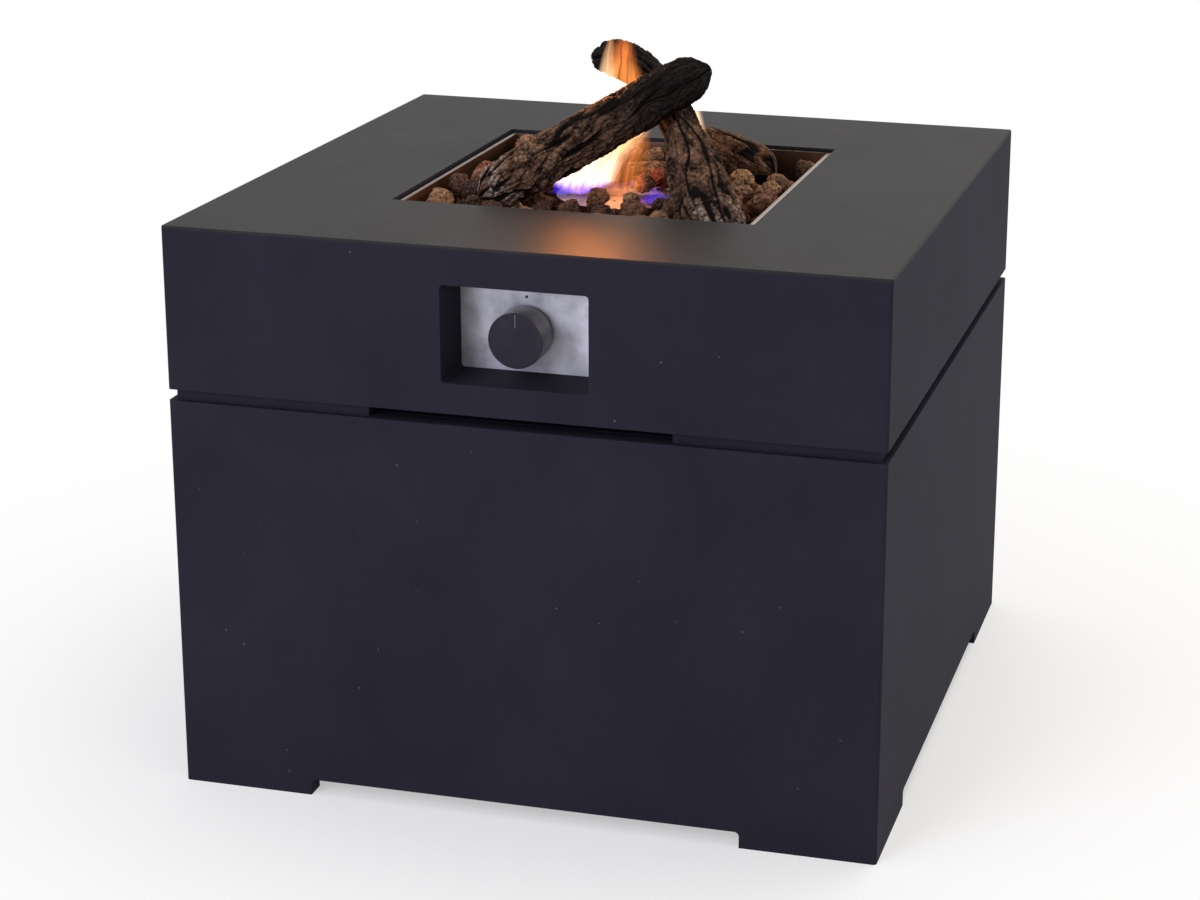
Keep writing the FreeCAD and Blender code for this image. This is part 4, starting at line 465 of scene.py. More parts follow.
def coil(low, high, radius, turns):
    """A wire along a helix about the Y axis. With t from 0 to 1 the wire's middle is at the angle
    a = 2 pi turns t and climbs evenly from one end to the other, and a circle of the wire's radius
    stands round it in the plane of Y and the spoke (cos a, 0, sin a)."""
    middle = (np.array(low) + np.array(high)) / 2
    mean = (high.z - low.z) / 2 - radius
    share = np.linspace(0, 1, SPRING_STEPS)
    angle = 2 * math.pi * turns * share
    spoke = np.stack([np.cos(angle), 0 * angle, np.sin(angle)], -1)
    climb = low.y + radius + (high.y - low.y - 2 * radius) * share
    line = np.stack([middle[0] + 0 * share, climb, middle[2] + 0 * share], -1) + spoke * mean
    round_wire = np.linspace(0, 2 * math.pi, WIRE_SIDES, endpoint=False)[None, :, None]
    rings = spoke[:, None] * np.cos(round_wire) + np.array((0, 1, 0)) * np.sin(round_wire)
    points = line[:, None] + rings * radius
    return np.concatenate([points.reshape(-1, 3), line[[0, -1]]]), closed_faces(SPRING_STEPS, WIRE_SIDES)


turns = coil(spring_low, spring_high, WIRE_RADIUS, SPRING_TURNS)
spring = mesh_piece("return_spring_coil", *turns, zinc, "casing", "zinc_steel")
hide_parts("return_spring")
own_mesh(spring)

# Gas fittings: turned brass nuts, elbow, injector, hose tail and spindle, a die-cast
# aluminium valve, a drawn aluminium tube and the sensor's copper capillary.
brass = brushed_metal("turned_brass", "#C9A55C", (4, 4, 0.6), 14, 0.28, 0.25)
finish(
    brass,
    "slab_inserts",
    "valve_spindle",
    "push_collar",
    "bonnet_cap",
    "valve_lock_nut",
    "thermocouple_nut",
    "inlet_union_nut",
    "inlet_hose_tail",
    "outlet_nut",
    "elbow_nut",
    "injector_elbow",
    "injector_jet",
)
casting = brushed_metal("die_cast_aluminium", "#B4B5B7", (1.4, 1.4, 1.4), 12, 0.46, 0.25)
finish(casting, "gas_valve_body", "outlet_tube")
copper = brushed_metal("drawn_copper", "#C07A55", (0.6, 30, 0.6), 10, 0.3, 0.35)
finish(copper, "thermocouple_lead")

# The igniter's case is moulded black plastic, its lead has red silicone over it, and the
# spark electrode's sleeve is glazed ceramic, greyed by soot.


def moulded(name, one, two, roughness, grain_mm):
    """A moulded or fired surface: two close colours in soft clouds over a fine grain."""
    made, tree, shader, place = new_material(name)
    cloud = add(tree, "TexNoise", {"Vector": place, "Scale": per(grain_mm * 12), "Detail": 4.0})
    cloud = add(tree, "MapRange", [cloud, 0.3, 0.7])
    colour = add(tree, "Mix", [cloud, linear(one), linear(two)], data_type="RGBA")
    grain = add(tree, "TexNoise", {"Vector": place, "Scale": per(grain_mm), "Detail": 2.0})
    uneven = add(tree, "MapRange", [grain, 0.3, 0.7, roughness - 0.05, roughness + 0.05])
    bump = add(tree, "Bump", {"Strength": 0.25, "Distance": 0.05 * MM, "Height": grain})
    fill(tree, shader, {"Base Color": colour, "Roughness": uneven, "Normal": bump})
    return made


finish(moulded("black_moulded_plastic", "#1B1B1D", "#242427", 0.5, 0.4), "piezo_igniter")
finish(moulded("red_silicone_sleeve", "#6E1D1A", "#7F2521", 0.6, 0.5), "ignition_lead")
finish(moulded("sooted_glazed_ceramic", "#8C857A", "#5E5850", 0.3, 0.5), "electrode_ceramic")

# The logs: ceramic cast in moulds of real bark and painted by hand, brown, charred black
# towards their upper ends and dusted with pale ash at their feet. Their furrows are painted
# dark and their ridges paler, painted shade and painted highlight, and an orange tan, full on
# the chunk behind the burner, is painted firelight.
LOG_AROUND = 220
LOG_COARSE_AROUND = 44
WELD = 0.02 * MM
LOG_FINE_MM = 0.75
GROOVE_MM = 4.2
FIBRE_MM = 1.5
SECTIONS = 26
END_ROUGH = 1.4 * MM
FOOT_BULGE = 0.5 * MM


def waves(points, seed):
    """Gradient noise, about -1 to 1: each corner of a unit lattice has a random slope, and a
    point takes the heights that the eight corners round it give, blended by a quintic."""
    chance = np.random.default_rng(seed)
    order = chance.permutation(256)
    slopes = chance.normal(size=(256, 3))
    slopes /= np.linalg.norm(slopes, axis=1, keepdims=True)
    cell = np.floor(points).astype(int)
    inside = points - cell
    blend = inside**3 * (inside * (inside * 6 - 15) + 10)
    total = np.zeros(points.shape[:-1])
    for corner in itertools.product((0, 1), repeat=3):
        index = (cell + corner) & 255
        row = (order[index[..., 0]] + index[..., 1]) & 255
        pick = order[(order[row] + index[..., 2]) & 255]
        height = ((inside - corner) * slopes[pick]).sum(-1)
        total += height * np.where(corner, blend, 1 - blend).prod(-1)
    return total * 1.7


def octaves(points, seed, count):
    """Several layers of waves, each half as wide and half as high as the one before."""
    return sum(waves(points * 2**n, seed + n) / 2**n for n in range(count))


def corners_of(name):
    """A CAD node's corner points, each kept once, and the numbers of each triangle's three."""
    mesh = nodes[name].data
    mesh.calc_loop_triangles()
    used = np.empty(len(mesh.loop_triangles) * 3, int)
    mesh.loop_triangles.foreach_get("vertices", used)
    points = np.empty(len(mesh.vertices) * 3, np.float32)
    mesh.vertices.foreach_get("co", points)
    points = points.reshape(-1, 3)[used].astype(float)
    keys = np.round(points / WELD).astype(int)
    first, corner = np.unique(keys, axis=0, return_index=True, return_inverse=True)[1:]
    return points[first], corner.reshape(-1, 3)


def reach(origins, ways, triangles):
    """How far each ray goes before it leaves the solid that the triangles close: the nearest
    crossing of ray and triangle, found for all pairs at once."""
    corner = triangles[:, 0]
    one = triangles[:, 1] - corner
    two = triangles[:, 2] - corner
    across = np.cross(ways[:, None], two[None])
    whole = (across * one[None]).sum(-1)
    whole = np.where(np.abs(whole) < 1e-15, 1e-15, whole)
    gap = origins[:, None] - corner[None]
    share_one = (gap * across).sum(-1) / whole
    turn = np.cross(gap, one[None])
    share_two = (ways[:, None] * turn).sum(-1) / whole
    distance = (two[None] * turn).sum(-1) / whole
    hit = (share_one > -1e-6) & (share_two > -1e-6) & (share_one + share_two < 1 + 1e-6)
    return np.where(hit & (distance > 0), distance, np.inf).min(1)


def ring_middles(points, corner):
    """The middles of a CAD log's rings, from its foot to its tip. The tip is the highest corner
    where a dozen triangles meet, and a ring's corners are equally many edges away from it."""
    meet = np.bincount(corner.reshape(-1))
    steps = np.full(len(points), len(points))
    steps[np.where(meet >= 12, points[:, 2], -1).argmax()] = 0
    for _ in range(16):
        near = steps[corner].min(1) + 1
        np.minimum.at(steps, corner.reshape(-1), np.repeat(near, 3))
    return np.array([points[steps == step].mean(0) for step in range(steps.max(), -1, -1)])


def spread_along(line, count):
    """Points at equal distances along a line of points, smoothed once."""
    runs = np.concatenate([[0], np.cumsum(np.linalg.norm(np.diff(line, axis=0), axis=1))])
    spots = np.linspace(0, runs[-1], count)
    even = np.stack([np.interp(spots, runs, line[:, n]) for n in range(3)], -1)
    even[1:-1] = (even[:-2] + 2 * even[1:-1] + even[2:]) / 4
    return even, runs[-1]


def unit(vectors):
    """Vectors scaled to a length of one."""
    return vectors / np.linalg.norm(vectors, axis=-1, keepdims=True)


def smoothed(values):
    """Values averaged with their neighbours: round the rings, and along them except at the ends."""
    values = (np.roll(values, 1, 1) + 2 * values + np.roll(values, -1, 1)) / 4
    values[1:-1] = (values[:-2] + 2 * values[1:-1] + values[2:]) / 4
    return values


def resampled(values, count, around):
    """A coarse grid drawn out to a fine one by straight blending both ways."""
    rows = np.linspace(0, len(values) - 1, count)
    low = np.clip(rows.astype(int), 0, len(values) - 2)
    share = (rows - low)[:, None]
    tall = values[low] * (1 - share) + values[low + 1] * share
    columns = np.arange(around) * values.shape[1] / around
    left = columns.astype(int)
    part = columns - left
    return tall[:, left] * (1 - part) + tall[:, (left + 1) % values.shape[1]] * part


def furrows(noise, width):
    """Valleys along the lines where a noise crosses nought: 1 on the line, 0 beside it."""
    return np.clip(1 - np.abs(noise) / width, 0, 1) ** 0.8


def log_shape(name, seed, twist, grooved, flat_foot=False):
    """The fine surface of a log inside its CAD solid. Rays from the centre line give its coarse
    radius R. The surface is at R - cut, where cut is the sum of long grooves, fine fibres, cross
    cracks and grit, each from a noise in the log's own space, which winds with the twist.
    Returns points, faces, and per point the depth, the share along the log and two noises."""
    corners, corner = corners_of(name)
    line = ring_middles(corners, corner)
    if not flat_foot:
        line[0] += (line[1] - line[0]) * 0.3
    line[-1] += (line[-2] - line[-1]) * 0.3
    line, length = spread_along(line, SECTIONS)
    ahead = unit(np.gradient(line, axis=0))
    if flat_foot:
        ground = corners[:, 2].min()
        line[0, 2] = ground + 0.6 * MM
        upright = np.clip(1 - np.arange(SECTIONS) / 7, 0, 1)[:, None]
        ahead = unit(ahead * (1 - upright) + np.array((0, 0, 1)) * upright)
    side = unit(np.cross(ahead, (0.35, 0.9, 0.2)))
    over = np.cross(ahead, side)
    angle = np.linspace(0, 2 * math.pi, LOG_COARSE_AROUND, endpoint=False)[None, :, None]
    ways = side[:, None] * np.cos(angle) + over[:, None] * np.sin(angle)
    starts = np.repeat(line, LOG_COARSE_AROUND, axis=0)
    radii = reach(starts, ways.reshape(-1, 3), corners[corner])
    radii = smoothed(radii.reshape(SECTIONS, LOG_COARSE_AROUND))

    count = int(length / (LOG_FINE_MM * MM))
    body = resampled(radii, count, LOG_AROUND)
    rows = np.linspace(0, SECTIONS - 1, count)
    steps = np.arange(SECTIONS)
    grids = (line, side, over)
    spine, right, up = (
        np.stack([np.interp(rows, steps, grid[:, n]) for n in range(3)], -1) for grid in grids
    )
    angle = np.linspace(0, 2 * math.pi, LOG_AROUND, endpoint=False)[None, :]
    distance = np.linspace(0, length, count)[:, None] / MM

    # the pattern's own space: metres become millimetres, and the section turns with the twist
    turn = angle + twist * distance / 100
    wide = body.mean() / MM
    run = np.broadcast_to(distance, (count, LOG_AROUND))
    space = np.stack([run, np.cos(turn) * wide, np.sin(turn) * wide], -1)
    wander = octaves(space / (38, 16, 16), seed + 20, 2)[..., None] * (4, 5, 5)
    swayed = space + wander
    groove = furrows(octaves(swayed / (95, 17, 17), seed, 2), 0.2)
    fibre = furrows(octaves(swayed / (26, 5.5, 5.5), seed + 10, 2), 0.42)
    crack = furrows(octaves(space / (9, 20, 20), seed + 60, 2), 0.1)
    lumps = octaves(space / (11, 8, 8), seed + 30, 3)
    grit = octaves(space / (2.6, 1.9, 1.9), seed + 40, 2)
    broad = octaves(space / (60, 25, 25), seed + 80, 2)
    fibre_part = fibre * grooved + np.clip(0.5 - lumps, 0, 1) * (1 - grooved)
    depth = np.clip(groove * (0.5 + 0.5 * grooved) + 0.5 * fibre_part + 0.3 * crack, 0, 1.4)
    cut = groove * GROOVE_MM * (0.35 + 0.65 * grooved) + fibre_part * FIBRE_MM + crack * 0.7
    cut += 1.7 * (1 - grooved) * (1 - lumps) - 0.5 * grit + 0.5 * (1 - broad)
    radius = body - np.clip(cut, 0.05, None) * MM

    # both ends close: the radius falls along a rounded arris and then across the end's face
    spokes = right[:, None] * np.cos(angle)[..., None] + up[:, None] * np.sin(angle)[..., None]
    trunk = spine[:, None] + spokes * radius[..., None]
    face = np.linspace(1, 0, 18)[1:, None]
    caps = []
    for end, step in ((0, -1), (-1, 1)):
        bulge = FOOT_BULGE if flat_foot and end == 0 else radius[end].mean() * 0.16
        rim = spine[end] + ahead[end] * step * bulge * (1 - face**3)
        flat = np.stack([face * 12 + 0 * angle, np.cos(angle) * face * 9, np.sin(angle) * face * 9], -1)
        off_pole = face[..., None] > 0.01
        rough = octaves(flat + seed, seed + 7, 3)[..., None] * ahead[end] * END_ROUGH * off_pole
        plain = flat_foot and end == 0
        caps.append(rim[:, None] + spokes[end] * (radius[end] * face)[..., None] + rough * (not plain))
    grid = np.concatenate([caps[0][::-1][1:], trunk, caps[1][:-1]])
    if flat_foot:
        grid[..., 2] = np.maximum(grid[..., 2], ground + 0.1 * MM)
    points = np.concatenate([grid.reshape(-1, 3), [caps[0][-1].mean(0), caps[1][-1].mean(0)]])

    def padded(values):
        """Values for the cap rows, held from the end rows, and for the two poles."""
        first = np.repeat(values[:1], len(face) - 1, 0)
        last = np.repeat(values[-1:], len(face) - 1, 0)
        flat = np.concatenate([first, values, last]).reshape(-1)
        return np.concatenate([flat, [values[0].mean(), values[-1].mean()]])

    share = np.broadcast_to(distance / distance[-1], (count, LOG_AROUND))
    values = [padded(value) for value in (depth, share, broad, grit)]
    return points, closed_faces(len(grid), LOG_AROUND), *values


def set_attribute(piece, name, values):
    """Stores one number per point on a piece, for its material to read."""
    layer = piece.data.attributes.new(name, "FLOAT", "POINT")
    layer.data.foreach_set("value", np.asarray(values, np.float32))


def layered(tree, colour, layers):
    """A colour with others laid over it in turn, each by its own share."""
    for share, code in layers:
        colour = add(tree, "Mix", [share, colour, linear(code)], data_type="RGBA")
    return colour


BARK_DARK = "#3E2C24"
BARK_BROWN = "#654A39"
FIRELIGHT_TAN = "#9A6640"
BARK_FLECK = "#8A6C55"
RIDGE_PAINTED_HIGHLIGHT = "#93745B"
FURROW_PAINTED_SHADE = "#100A08"
CHAR_BLACK = "#0B0807"
CHAR_BROWN = "#1E1612"
ASH_PALE = "#B3ACA4"
BARK_PATCH_MM = 20
BARK_FLECK_MM = 3.0
BARK_GRAIN_MM = 0.9
bark, tree, shader, place = new_material("painted_ceramic_bark")
depth, char, ash, tan = (
    add(tree, "Attribute", attribute_name=name).outputs["Fac"]
    for name in ("depth", "char", "ash", "tan")
)
patch = add(tree, "TexNoise", {"Vector": place, "Scale": per(BARK_PATCH_MM), "Detail": 4.0})
patch = add(tree, "MapRange", [patch, 0.36, 0.64])
fleck = add(tree, "TexNoise", {"Vector": place, "Scale": per(BARK_FLECK_MM), "Detail": 5.0})
flecked = add(tree, "MapRange", [fleck, 0.52, 0.68, 0, 0.8])
# painted shade and highlight: darker in the furrows, paler on the ridges
ridge_highlight = add(tree, "MapRange", [depth, 0.04, -0.1, 0, 0.7])
furrow_shade = add(tree, "MapRange", [depth, 0.1, 0.6])
painted = add(tree, "Mix", [patch, linear(BARK_DARK), linear(BARK_BROWN)], data_type="RGBA")
# the tan layer is painted firelight, an orange tan
layers = ((tan, FIRELIGHT_TAN), (flecked, BARK_FLECK), (ridge_highlight, RIDGE_PAINTED_HIGHLIGHT), (furrow_shade, FURROW_PAINTED_SHADE))
painted = layered(tree, painted, layers)
charred = add(tree, "MapRange", [fleck, 0.42, 0.7])
charred = add(tree, "Mix", [charred, linear(CHAR_BLACK), linear(CHAR_BROWN)], data_type="RGBA")
burnt = add(tree, "Mix", [char, painted, charred], data_type="RGBA")
powder = add(tree, "MapRange", [fleck, 0.44, 0.58])
raised = add(tree, "MapRange", [depth, 0.5, 0.1])
dust = add(tree, "Math", [ash, powder], operation="MULTIPLY")
dust = add(tree, "Math", [dust, raised], operation="MULTIPLY")
colour = add(tree, "Mix", [dust, burnt, linear(ASH_PALE)], data_type="RGBA")
roughness = add(tree, "MapRange", [char, 0, 1, 0.88, 0.74])
fine = add(tree, "TexNoise", {"Vector": place, "Scale": per(BARK_GRAIN_MM), "Detail": 3.0})
bump = add(tree, "Bump", {"Strength": 0.6, "Distance": 0.4 * MM, "Height": fine})
fill(tree, shader, {"Base Color": colour, "Roughness": roughness, "Normal": bump})
shader.inputs["Specular IOR Level"].default_value = 0.1

# tan: the share of orange painted firelight on each log, full on the chunk behind the burner
LOGS = {
    "log_front": dict(seed=3, twist=0.5, grooved=1.0, flat=False, char=(0.42, 0.74), ash=0.2, tan=0),
    "log_standing": dict(seed=17, twist=0.2, grooved=0.25, flat=True, char=(0.85, 1.2), ash=0.42, tan=0),
    "log_crossing": dict(seed=29, twist=0.4, grooved=0.8, flat=True, char=(0.3, 0.7), ash=0, tan=0.15),
    "log_chunk": dict(seed=41, twist=0.3, grooved=0.35, flat=False, char=(0.55, 1.1), ash=0, tan=1.0),
    "log_rear": dict(seed=53, twist=0.4, grooved=0.6, flat=False, char=(0.8, 1.4), ash=0.1, tan=0.1),
}
for name, log in LOGS.items():
    shape = log_shape(name, log["seed"], log["twist"], log["grooved"], log["flat"])
    points, faces, depth, share, broad, grit = shape
    piece = mesh_piece(name + "_bark", points, faces, bark, "casing", "log_ceramic")
    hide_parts(name)
    uneven = share + 0.12 * broad + 0.05 * grit
    char_from, char_full = log["char"]
    set_attribute(piece, "depth", depth - 0.15 * grit)
    set_attribute(piece, "char", np.clip((uneven - char_from) / (char_full - char_from), 0, 1))
    ash = np.clip(1 - uneven / log["ash"], 0, 1) ** 0.6 if log["ash"] else 0 * share
    set_attribute(piece, "ash", ash * np.clip(0.55 + 1.6 * broad, 0, 1))
    set_attribute(piece, "tan", np.clip(log["tan"] * (1 + 0.9 * broad), 0, 1))

# The lava stones: crushed volcanic rock, 25 to 35 mm across, rust-brown to black and full of
# gas bubbles. They lie loose in two layers round the burner. Their pores and dents are painted
# near black, painted shade in the hollows.
STONE_RINGS = 28
STONE_AROUND = 44
BUBBLES = 85
BROKEN_FACES = 12
BLUNT = 16.0


def stones_of(name):
    """Each stone's triangles: triangles belong together where they share a corner point."""
    points, corner = corners_of(name)
    owner = np.arange(len(points))
    for _ in range(12):
        least = owner[corner].min(1)
        np.minimum.at(owner, corner.reshape(-1), np.repeat(least, 3))
    groups = owner[corner[:, 0]]
    return [points[corner[groups == group]] for group in np.unique(groups)]


def stone_shapes(solids, seed):
    """Rough stones inside their CAD solids. A grid of directions, ring by ring from the bottom
    to the top, is shot from each solid's middle. The distance R to the solid is softly cut by
    random planes p, as (R^-n + sum of p^-n)^(-1/n), so that broken faces meet in blunt edges.
    Noise roughens it, and it is dented where a direction lies near a bubble's."""
    chance = np.random.default_rng(seed)
    polar = np.linspace(0, math.pi, STONE_RINGS + 2)[1:-1, None]
    angle = np.linspace(0, 2 * math.pi, STONE_AROUND, endpoint=False)[None, :]
    across = np.sin(polar)
    grid = np.stack([across * np.cos(angle), across * np.sin(angle), -np.cos(polar) + 0 * angle], -1)
    flat = grid.reshape(-1, 3)
    poles = np.array([(0, 0, -1.0), (0, 0, 1.0)])
    points, faces, depths, tints = [], [], [], []
    for number, triangles in enumerate(solids):
        middle = triangles.reshape(-1, 3)
        middle = (middle.min(0) + middle.max(0)) / 2
        starts = np.repeat(middle[None], len(flat), 0)
        radius = reach(starts, flat, triangles).reshape(STONE_RINGS, STONE_AROUND)
        radius = smoothed(radius).reshape(-1)
        size = radius.mean()
        normals = unit(chance.normal(size=(BROKEN_FACES, 3)))
        offsets = size * chance.uniform(0.7, 1.08, BROKEN_FACES)
        planes = offsets / np.maximum(flat @ normals.T, 0.05)
        cut = (radius**-BLUNT + (planes**-BLUNT).sum(1)) ** (-1 / BLUNT)
        lumps = octaves(flat * 2.2 + number * 7.3, seed, 3)
        grit = octaves(flat * 7.5 + number * 3.1, seed + 9, 2)
        centres = unit(chance.normal(size=(BUBBLES, 3)))
        widths = chance.uniform(0.06, 0.2, BUBBLES)
        away = np.arccos(np.clip(flat @ centres.T, -1, 1)) / widths
        dent = (np.clip(1 - away**2, 0, 1) * widths).max(1)
        fine = cut * (0.95 + 0.1 * lumps + 0.05 * grit) - dent * size * 0.7
        fine = np.minimum(fine, radius * 0.995)
        rows = fine.reshape(STONE_RINGS, STONE_AROUND)
        tips = middle + poles * np.array([[rows[0].mean()], [rows[-1].mean()]])
        first = sum(len(block) for block in points)
        points.append(np.concatenate([middle + flat * fine[:, None], tips]))
        faces += closed_faces(STONE_RINGS, STONE_AROUND, first)
        depth = np.clip(dent / 0.18, 0, 1) + 0.35 * np.clip(-lumps, 0, 1) - 0.2 * grit
        depths.append(np.concatenate([depth, [0, 0]]))
        tints.append(np.full(len(flat) + 2, chance.random()))
    return np.concatenate(points), faces, np.concatenate(depths), np.concatenate(tints)


STONE_TINTS = (
    (0.0, "#2A221E"),
    (0.12, "#45332A"),
    (0.28, "#684B3C"),
    (0.45, "#8C674E"),
    (0.6, "#774C3D"),
    (0.73, "#96523B"),
    (0.87, "#957156"),
    (1.0, "#AF8861"),
)
RUST_RED = "#7A4332"
SOOT_BROWN = "#2E2622"
PORE_PAINTED_SHADE = "#120D0B"
DENT_PAINTED_SHADE = "#1A1310"
MOTTLE_DARK = "#1E1613"
DUST_PALE = "#A98468"
RUST_MM = 11
WARP_MM = 3
WARP_REACH = 1.6 * MM
FOAM_MM = 2.3
STONE_MOTTLE_MM = 4.5
DUST_MM = 1.6
STONE_GRAIN_MM = 0.9
lava, tree, shader, place = new_material("porous_lava_rock")
depth, tint = (
    add(tree, "Attribute", attribute_name=name).outputs["Fac"] for name in ("depth", "tint")
)
warp = add(tree, "TexNoise", {"Vector": place, "Scale": per(WARP_MM), "Detail": 2.0}).outputs["Color"]
warp = add(tree, "VectorMath", [warp, (WARP_REACH,) * 3], operation="MULTIPLY")
warped = add(tree, "VectorMath", [place, warp], operation="ADD")
foam = add(tree, "TexVoronoi", {"Vector": warped, "Scale": per(FOAM_MM)})
hole = spots(tree, foam, (0.5, 0.2), (0.25, 0.5))
pore_shade = add(tree, "Math", [hole, 0.75], operation="MULTIPLY")
rust = add(tree, "TexNoise", {"Vector": place, "Scale": per(RUST_MM), "Detail": 5.0})
rusty = add(tree, "MapRange", [rust, 0.48, 0.66, 0.0, 0.4])
sooty = add(tree, "MapRange", [rust, 0.5, 0.3, 0.0, 0.6])
dent_shade = add(tree, "MapRange", [depth, 0.3, 1.25])
mottled = add(tree, "TexNoise", {"Vector": warped, "Scale": per(STONE_MOTTLE_MM), "Detail": 6.0})
mottled = add(tree, "MapRange", [mottled, 0.52, 0.4, 0.0, 0.5])
dusty = add(tree, "TexNoise", {"Vector": place, "Scale": per(DUST_MM), "Detail": 4.0})
dusty = add(tree, "MapRange", [dusty, 0.56, 0.7, 0.0, 0.5])
# painted shade: the pores and dents are painted near black
layers = (
    (rusty, RUST_RED),
    (sooty, SOOT_BROWN),
    (pore_shade, PORE_PAINTED_SHADE),
    (dent_shade, DENT_PAINTED_SHADE),
    (mottled, MOTTLE_DARK),
    (dusty, DUST_PALE),
)
colour = layered(tree, ramp_of(tree, tint, STONE_TINTS), layers)
grain = add(tree, "TexNoise", {"Vector": place, "Scale": per(STONE_GRAIN_MM), "Detail": 4.0})
grain = add(tree, "Math", [grain, 0.6], operation="MULTIPLY")
relief = add(tree, "Math", [grain, hole], operation="SUBTRACT")
bump = add(tree, "Bump", {"Strength": 1.0, "Distance": 0.9 * MM, "Height": relief})
fill(tree, shader, {"Base Color": colour, "Normal": bump})
shader.inputs["Roughness"].default_value = 0.95
shader.inputs["Specular IOR Level"].default_value = 0.15
for name, seed in (("lava_stones_lower", 5), ("lava_stones_upper", 8)):
    points, faces, depth, tint = stone_shapes(stones_of(name), seed)
    piece = mesh_piece(name + "_rough", points, faces, lava, "casing", "lava")
    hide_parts(name)
    set_attribute(piece, "depth", depth)
    set_attribute(piece, "tint", tint)

# The fire: a bright flame leans from the burner to the crossing log's end, a smaller one stands
# behind the standing log, and blue ones play low round the burner. All of them are lamps.
WARM = ((0.0, "#4A30D8"), (0.06, "#A078E8"), (0.13, "#FFDCC4"), (0.5, "#FFC882"), (1.0, "#FF8430"))
ORANGE = ((0.0, "#F08038"), (0.5, "#F89048"), (1.0, "#D86018"))
PALE = ((0.0, "#FFB060"), (0.4, "#FFE0B8"), (1.0, "#FF9A48"))
ROSE = ((0.0, "#F07A40"), (0.5, "#F89878"), (1.0, "#A060E0"))
BLUE = ((0.0, "#140CFF"), (0.45, "#4A34FF"), (0.8, "#A080FF"), (1.0, "#E0B0FF"))
SWAY_MM = 30
CROSSED_SHARE = 0.35
CAMERA_PLACE = (0.65737, -2.22567, 0.99208)
BURNER_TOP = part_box("burner_cover")[1].z


def lamp(name, kind, place, power, colour, size=0.1, aim=None):
    """A lamp at a place, turned to a point. Area lamps are square and have a side of size."""
    made = bpy.data.lights.new(name, kind)
    made.energy = power
    made.color = linear(colour)[:3]
    if kind == "AREA":
        made.size = size
    thing = bpy.data.objects.new(name, made)
    thing.location = place
    if aim is not None:
        thing.rotation_mode = "QUATERNION"
        thing.rotation_quaternion = (Vector(place) - Vector(aim)).to_track_quat("Z", "Y")
    bpy.context.scene.collection.objects.link(thing)
    return thing


def noise_at(tree, x, y, z):
    """Noise, about 0.5 in the mean, at a place put together from three values."""
    place = add(tree, "CombineXYZ", [x, y, z])
    return add(tree, "TexNoise", {"Vector": place, "Scale": 1.0, "Detail": 2.0})


def flame_glow(tree, across, foot, height, half_width, lean, colours, strength, seed, tear, fork_mm):
    """Sets a lamp's emission. With v the height from 0 to 1, the light falls from full to nothing
    at w = half_width * min(1, 8v)^0.5 * (1 - v)^0.7 from a line that leans and sways, and a
    noise that is stretched upwards streaks it and tears its upper edge."""
    place = add(tree, "NewGeometry").outputs["Position"]
    from_foot = add(tree, "VectorMath", [place, foot], operation="SUBTRACT")
    run = add(tree, "VectorMath", [from_foot, across], operation="DOT_PRODUCT")
    rise = add(tree, "SeparateXYZ", [from_foot]).outputs["Z"]
    rise = add(tree, "Math", [rise, height], operation="DIVIDE")
    rise = add(tree, "Math", [rise, 0.0], operation="MAXIMUM")

    # how far a point is off the flame's line, which leans and sways more the higher it is
    sway_run = add(tree, "Math", [run, per(SWAY_MM)], operation="MULTIPLY")
    sway_rise = add(tree, "Math", [rise, 1.5], operation="MULTIPLY")
    sway = add(tree, "Math", [noise_at(tree, sway_run, sway_rise, seed), 0.5], operation="SUBTRACT")
    sway = add(tree, "Math", [sway, rise], operation="MULTIPLY")
    sway = add(tree, "Math", [sway, half_width * 1.6], operation="MULTIPLY")
    leant = add(tree, "MapRange", [rise, 0, 0.8, 0, lean], interpolation_type="SMOOTHSTEP")
    off = add(tree, "Math", [run, leant], operation="SUBTRACT")
    off = add(tree, "Math", [off, sway], operation="SUBTRACT")

    # the tongues: narrow streaks of noise, which also move the height at which the flame ends
    fork_run = add(tree, "Math", [off, per(fork_mm)], operation="MULTIPLY")
    fork_rise = add(tree, "Math", [rise, 1.2], operation="MULTIPLY")
    fork = noise_at(tree, fork_run, fork_rise, seed + 5)
    torn = add(tree, "Math", [fork, 0.5], operation="SUBTRACT")
    torn = add(tree, "Math", [torn, tear], operation="MULTIPLY")
    torn = add(tree, "Math", [rise, torn], operation="ADD")
    torn = add(tree, "Clamp", [torn])

    # the flame's half width at this height, and the light inside it
    swell = add(tree, "Math", [rise, 8.0], operation="MULTIPLY")
    swell = add(tree, "Math", [swell, 1.0], operation="MINIMUM")
    swell = add(tree, "Math", [swell, 0.5], operation="POWER")
    narrow = add(tree, "Math", [1.0, torn], operation="SUBTRACT")
    narrow = add(tree, "Math", [narrow, 0.7], operation="POWER")
    wide = add(tree, "Math", [swell, narrow], operation="MULTIPLY")
    wide = add(tree, "Math", [wide, half_width], operation="MULTIPLY")
    off = add(tree, "Math", [off], operation="ABSOLUTE")
    room = add(tree, "Math", [wide, off], operation="SUBTRACT")
    soft = half_width * 0.5
    light = add(tree, "MapRange", [room, 0, soft, 0, 1], interpolation_type="SMOOTHSTEP")
    streak = add(tree, "MapRange", [fork, 0.35, 0.65, 0.45, 1.25])
    light = add(tree, "Math", [light, streak], operation="MULTIPLY")
    light = add(tree, "Math", [light, strength], operation="MULTIPLY")
    glow = {"Color": ramp_of(tree, rise, colours), "Strength": light}
    fill(tree, tree.nodes["Emission"], glow)


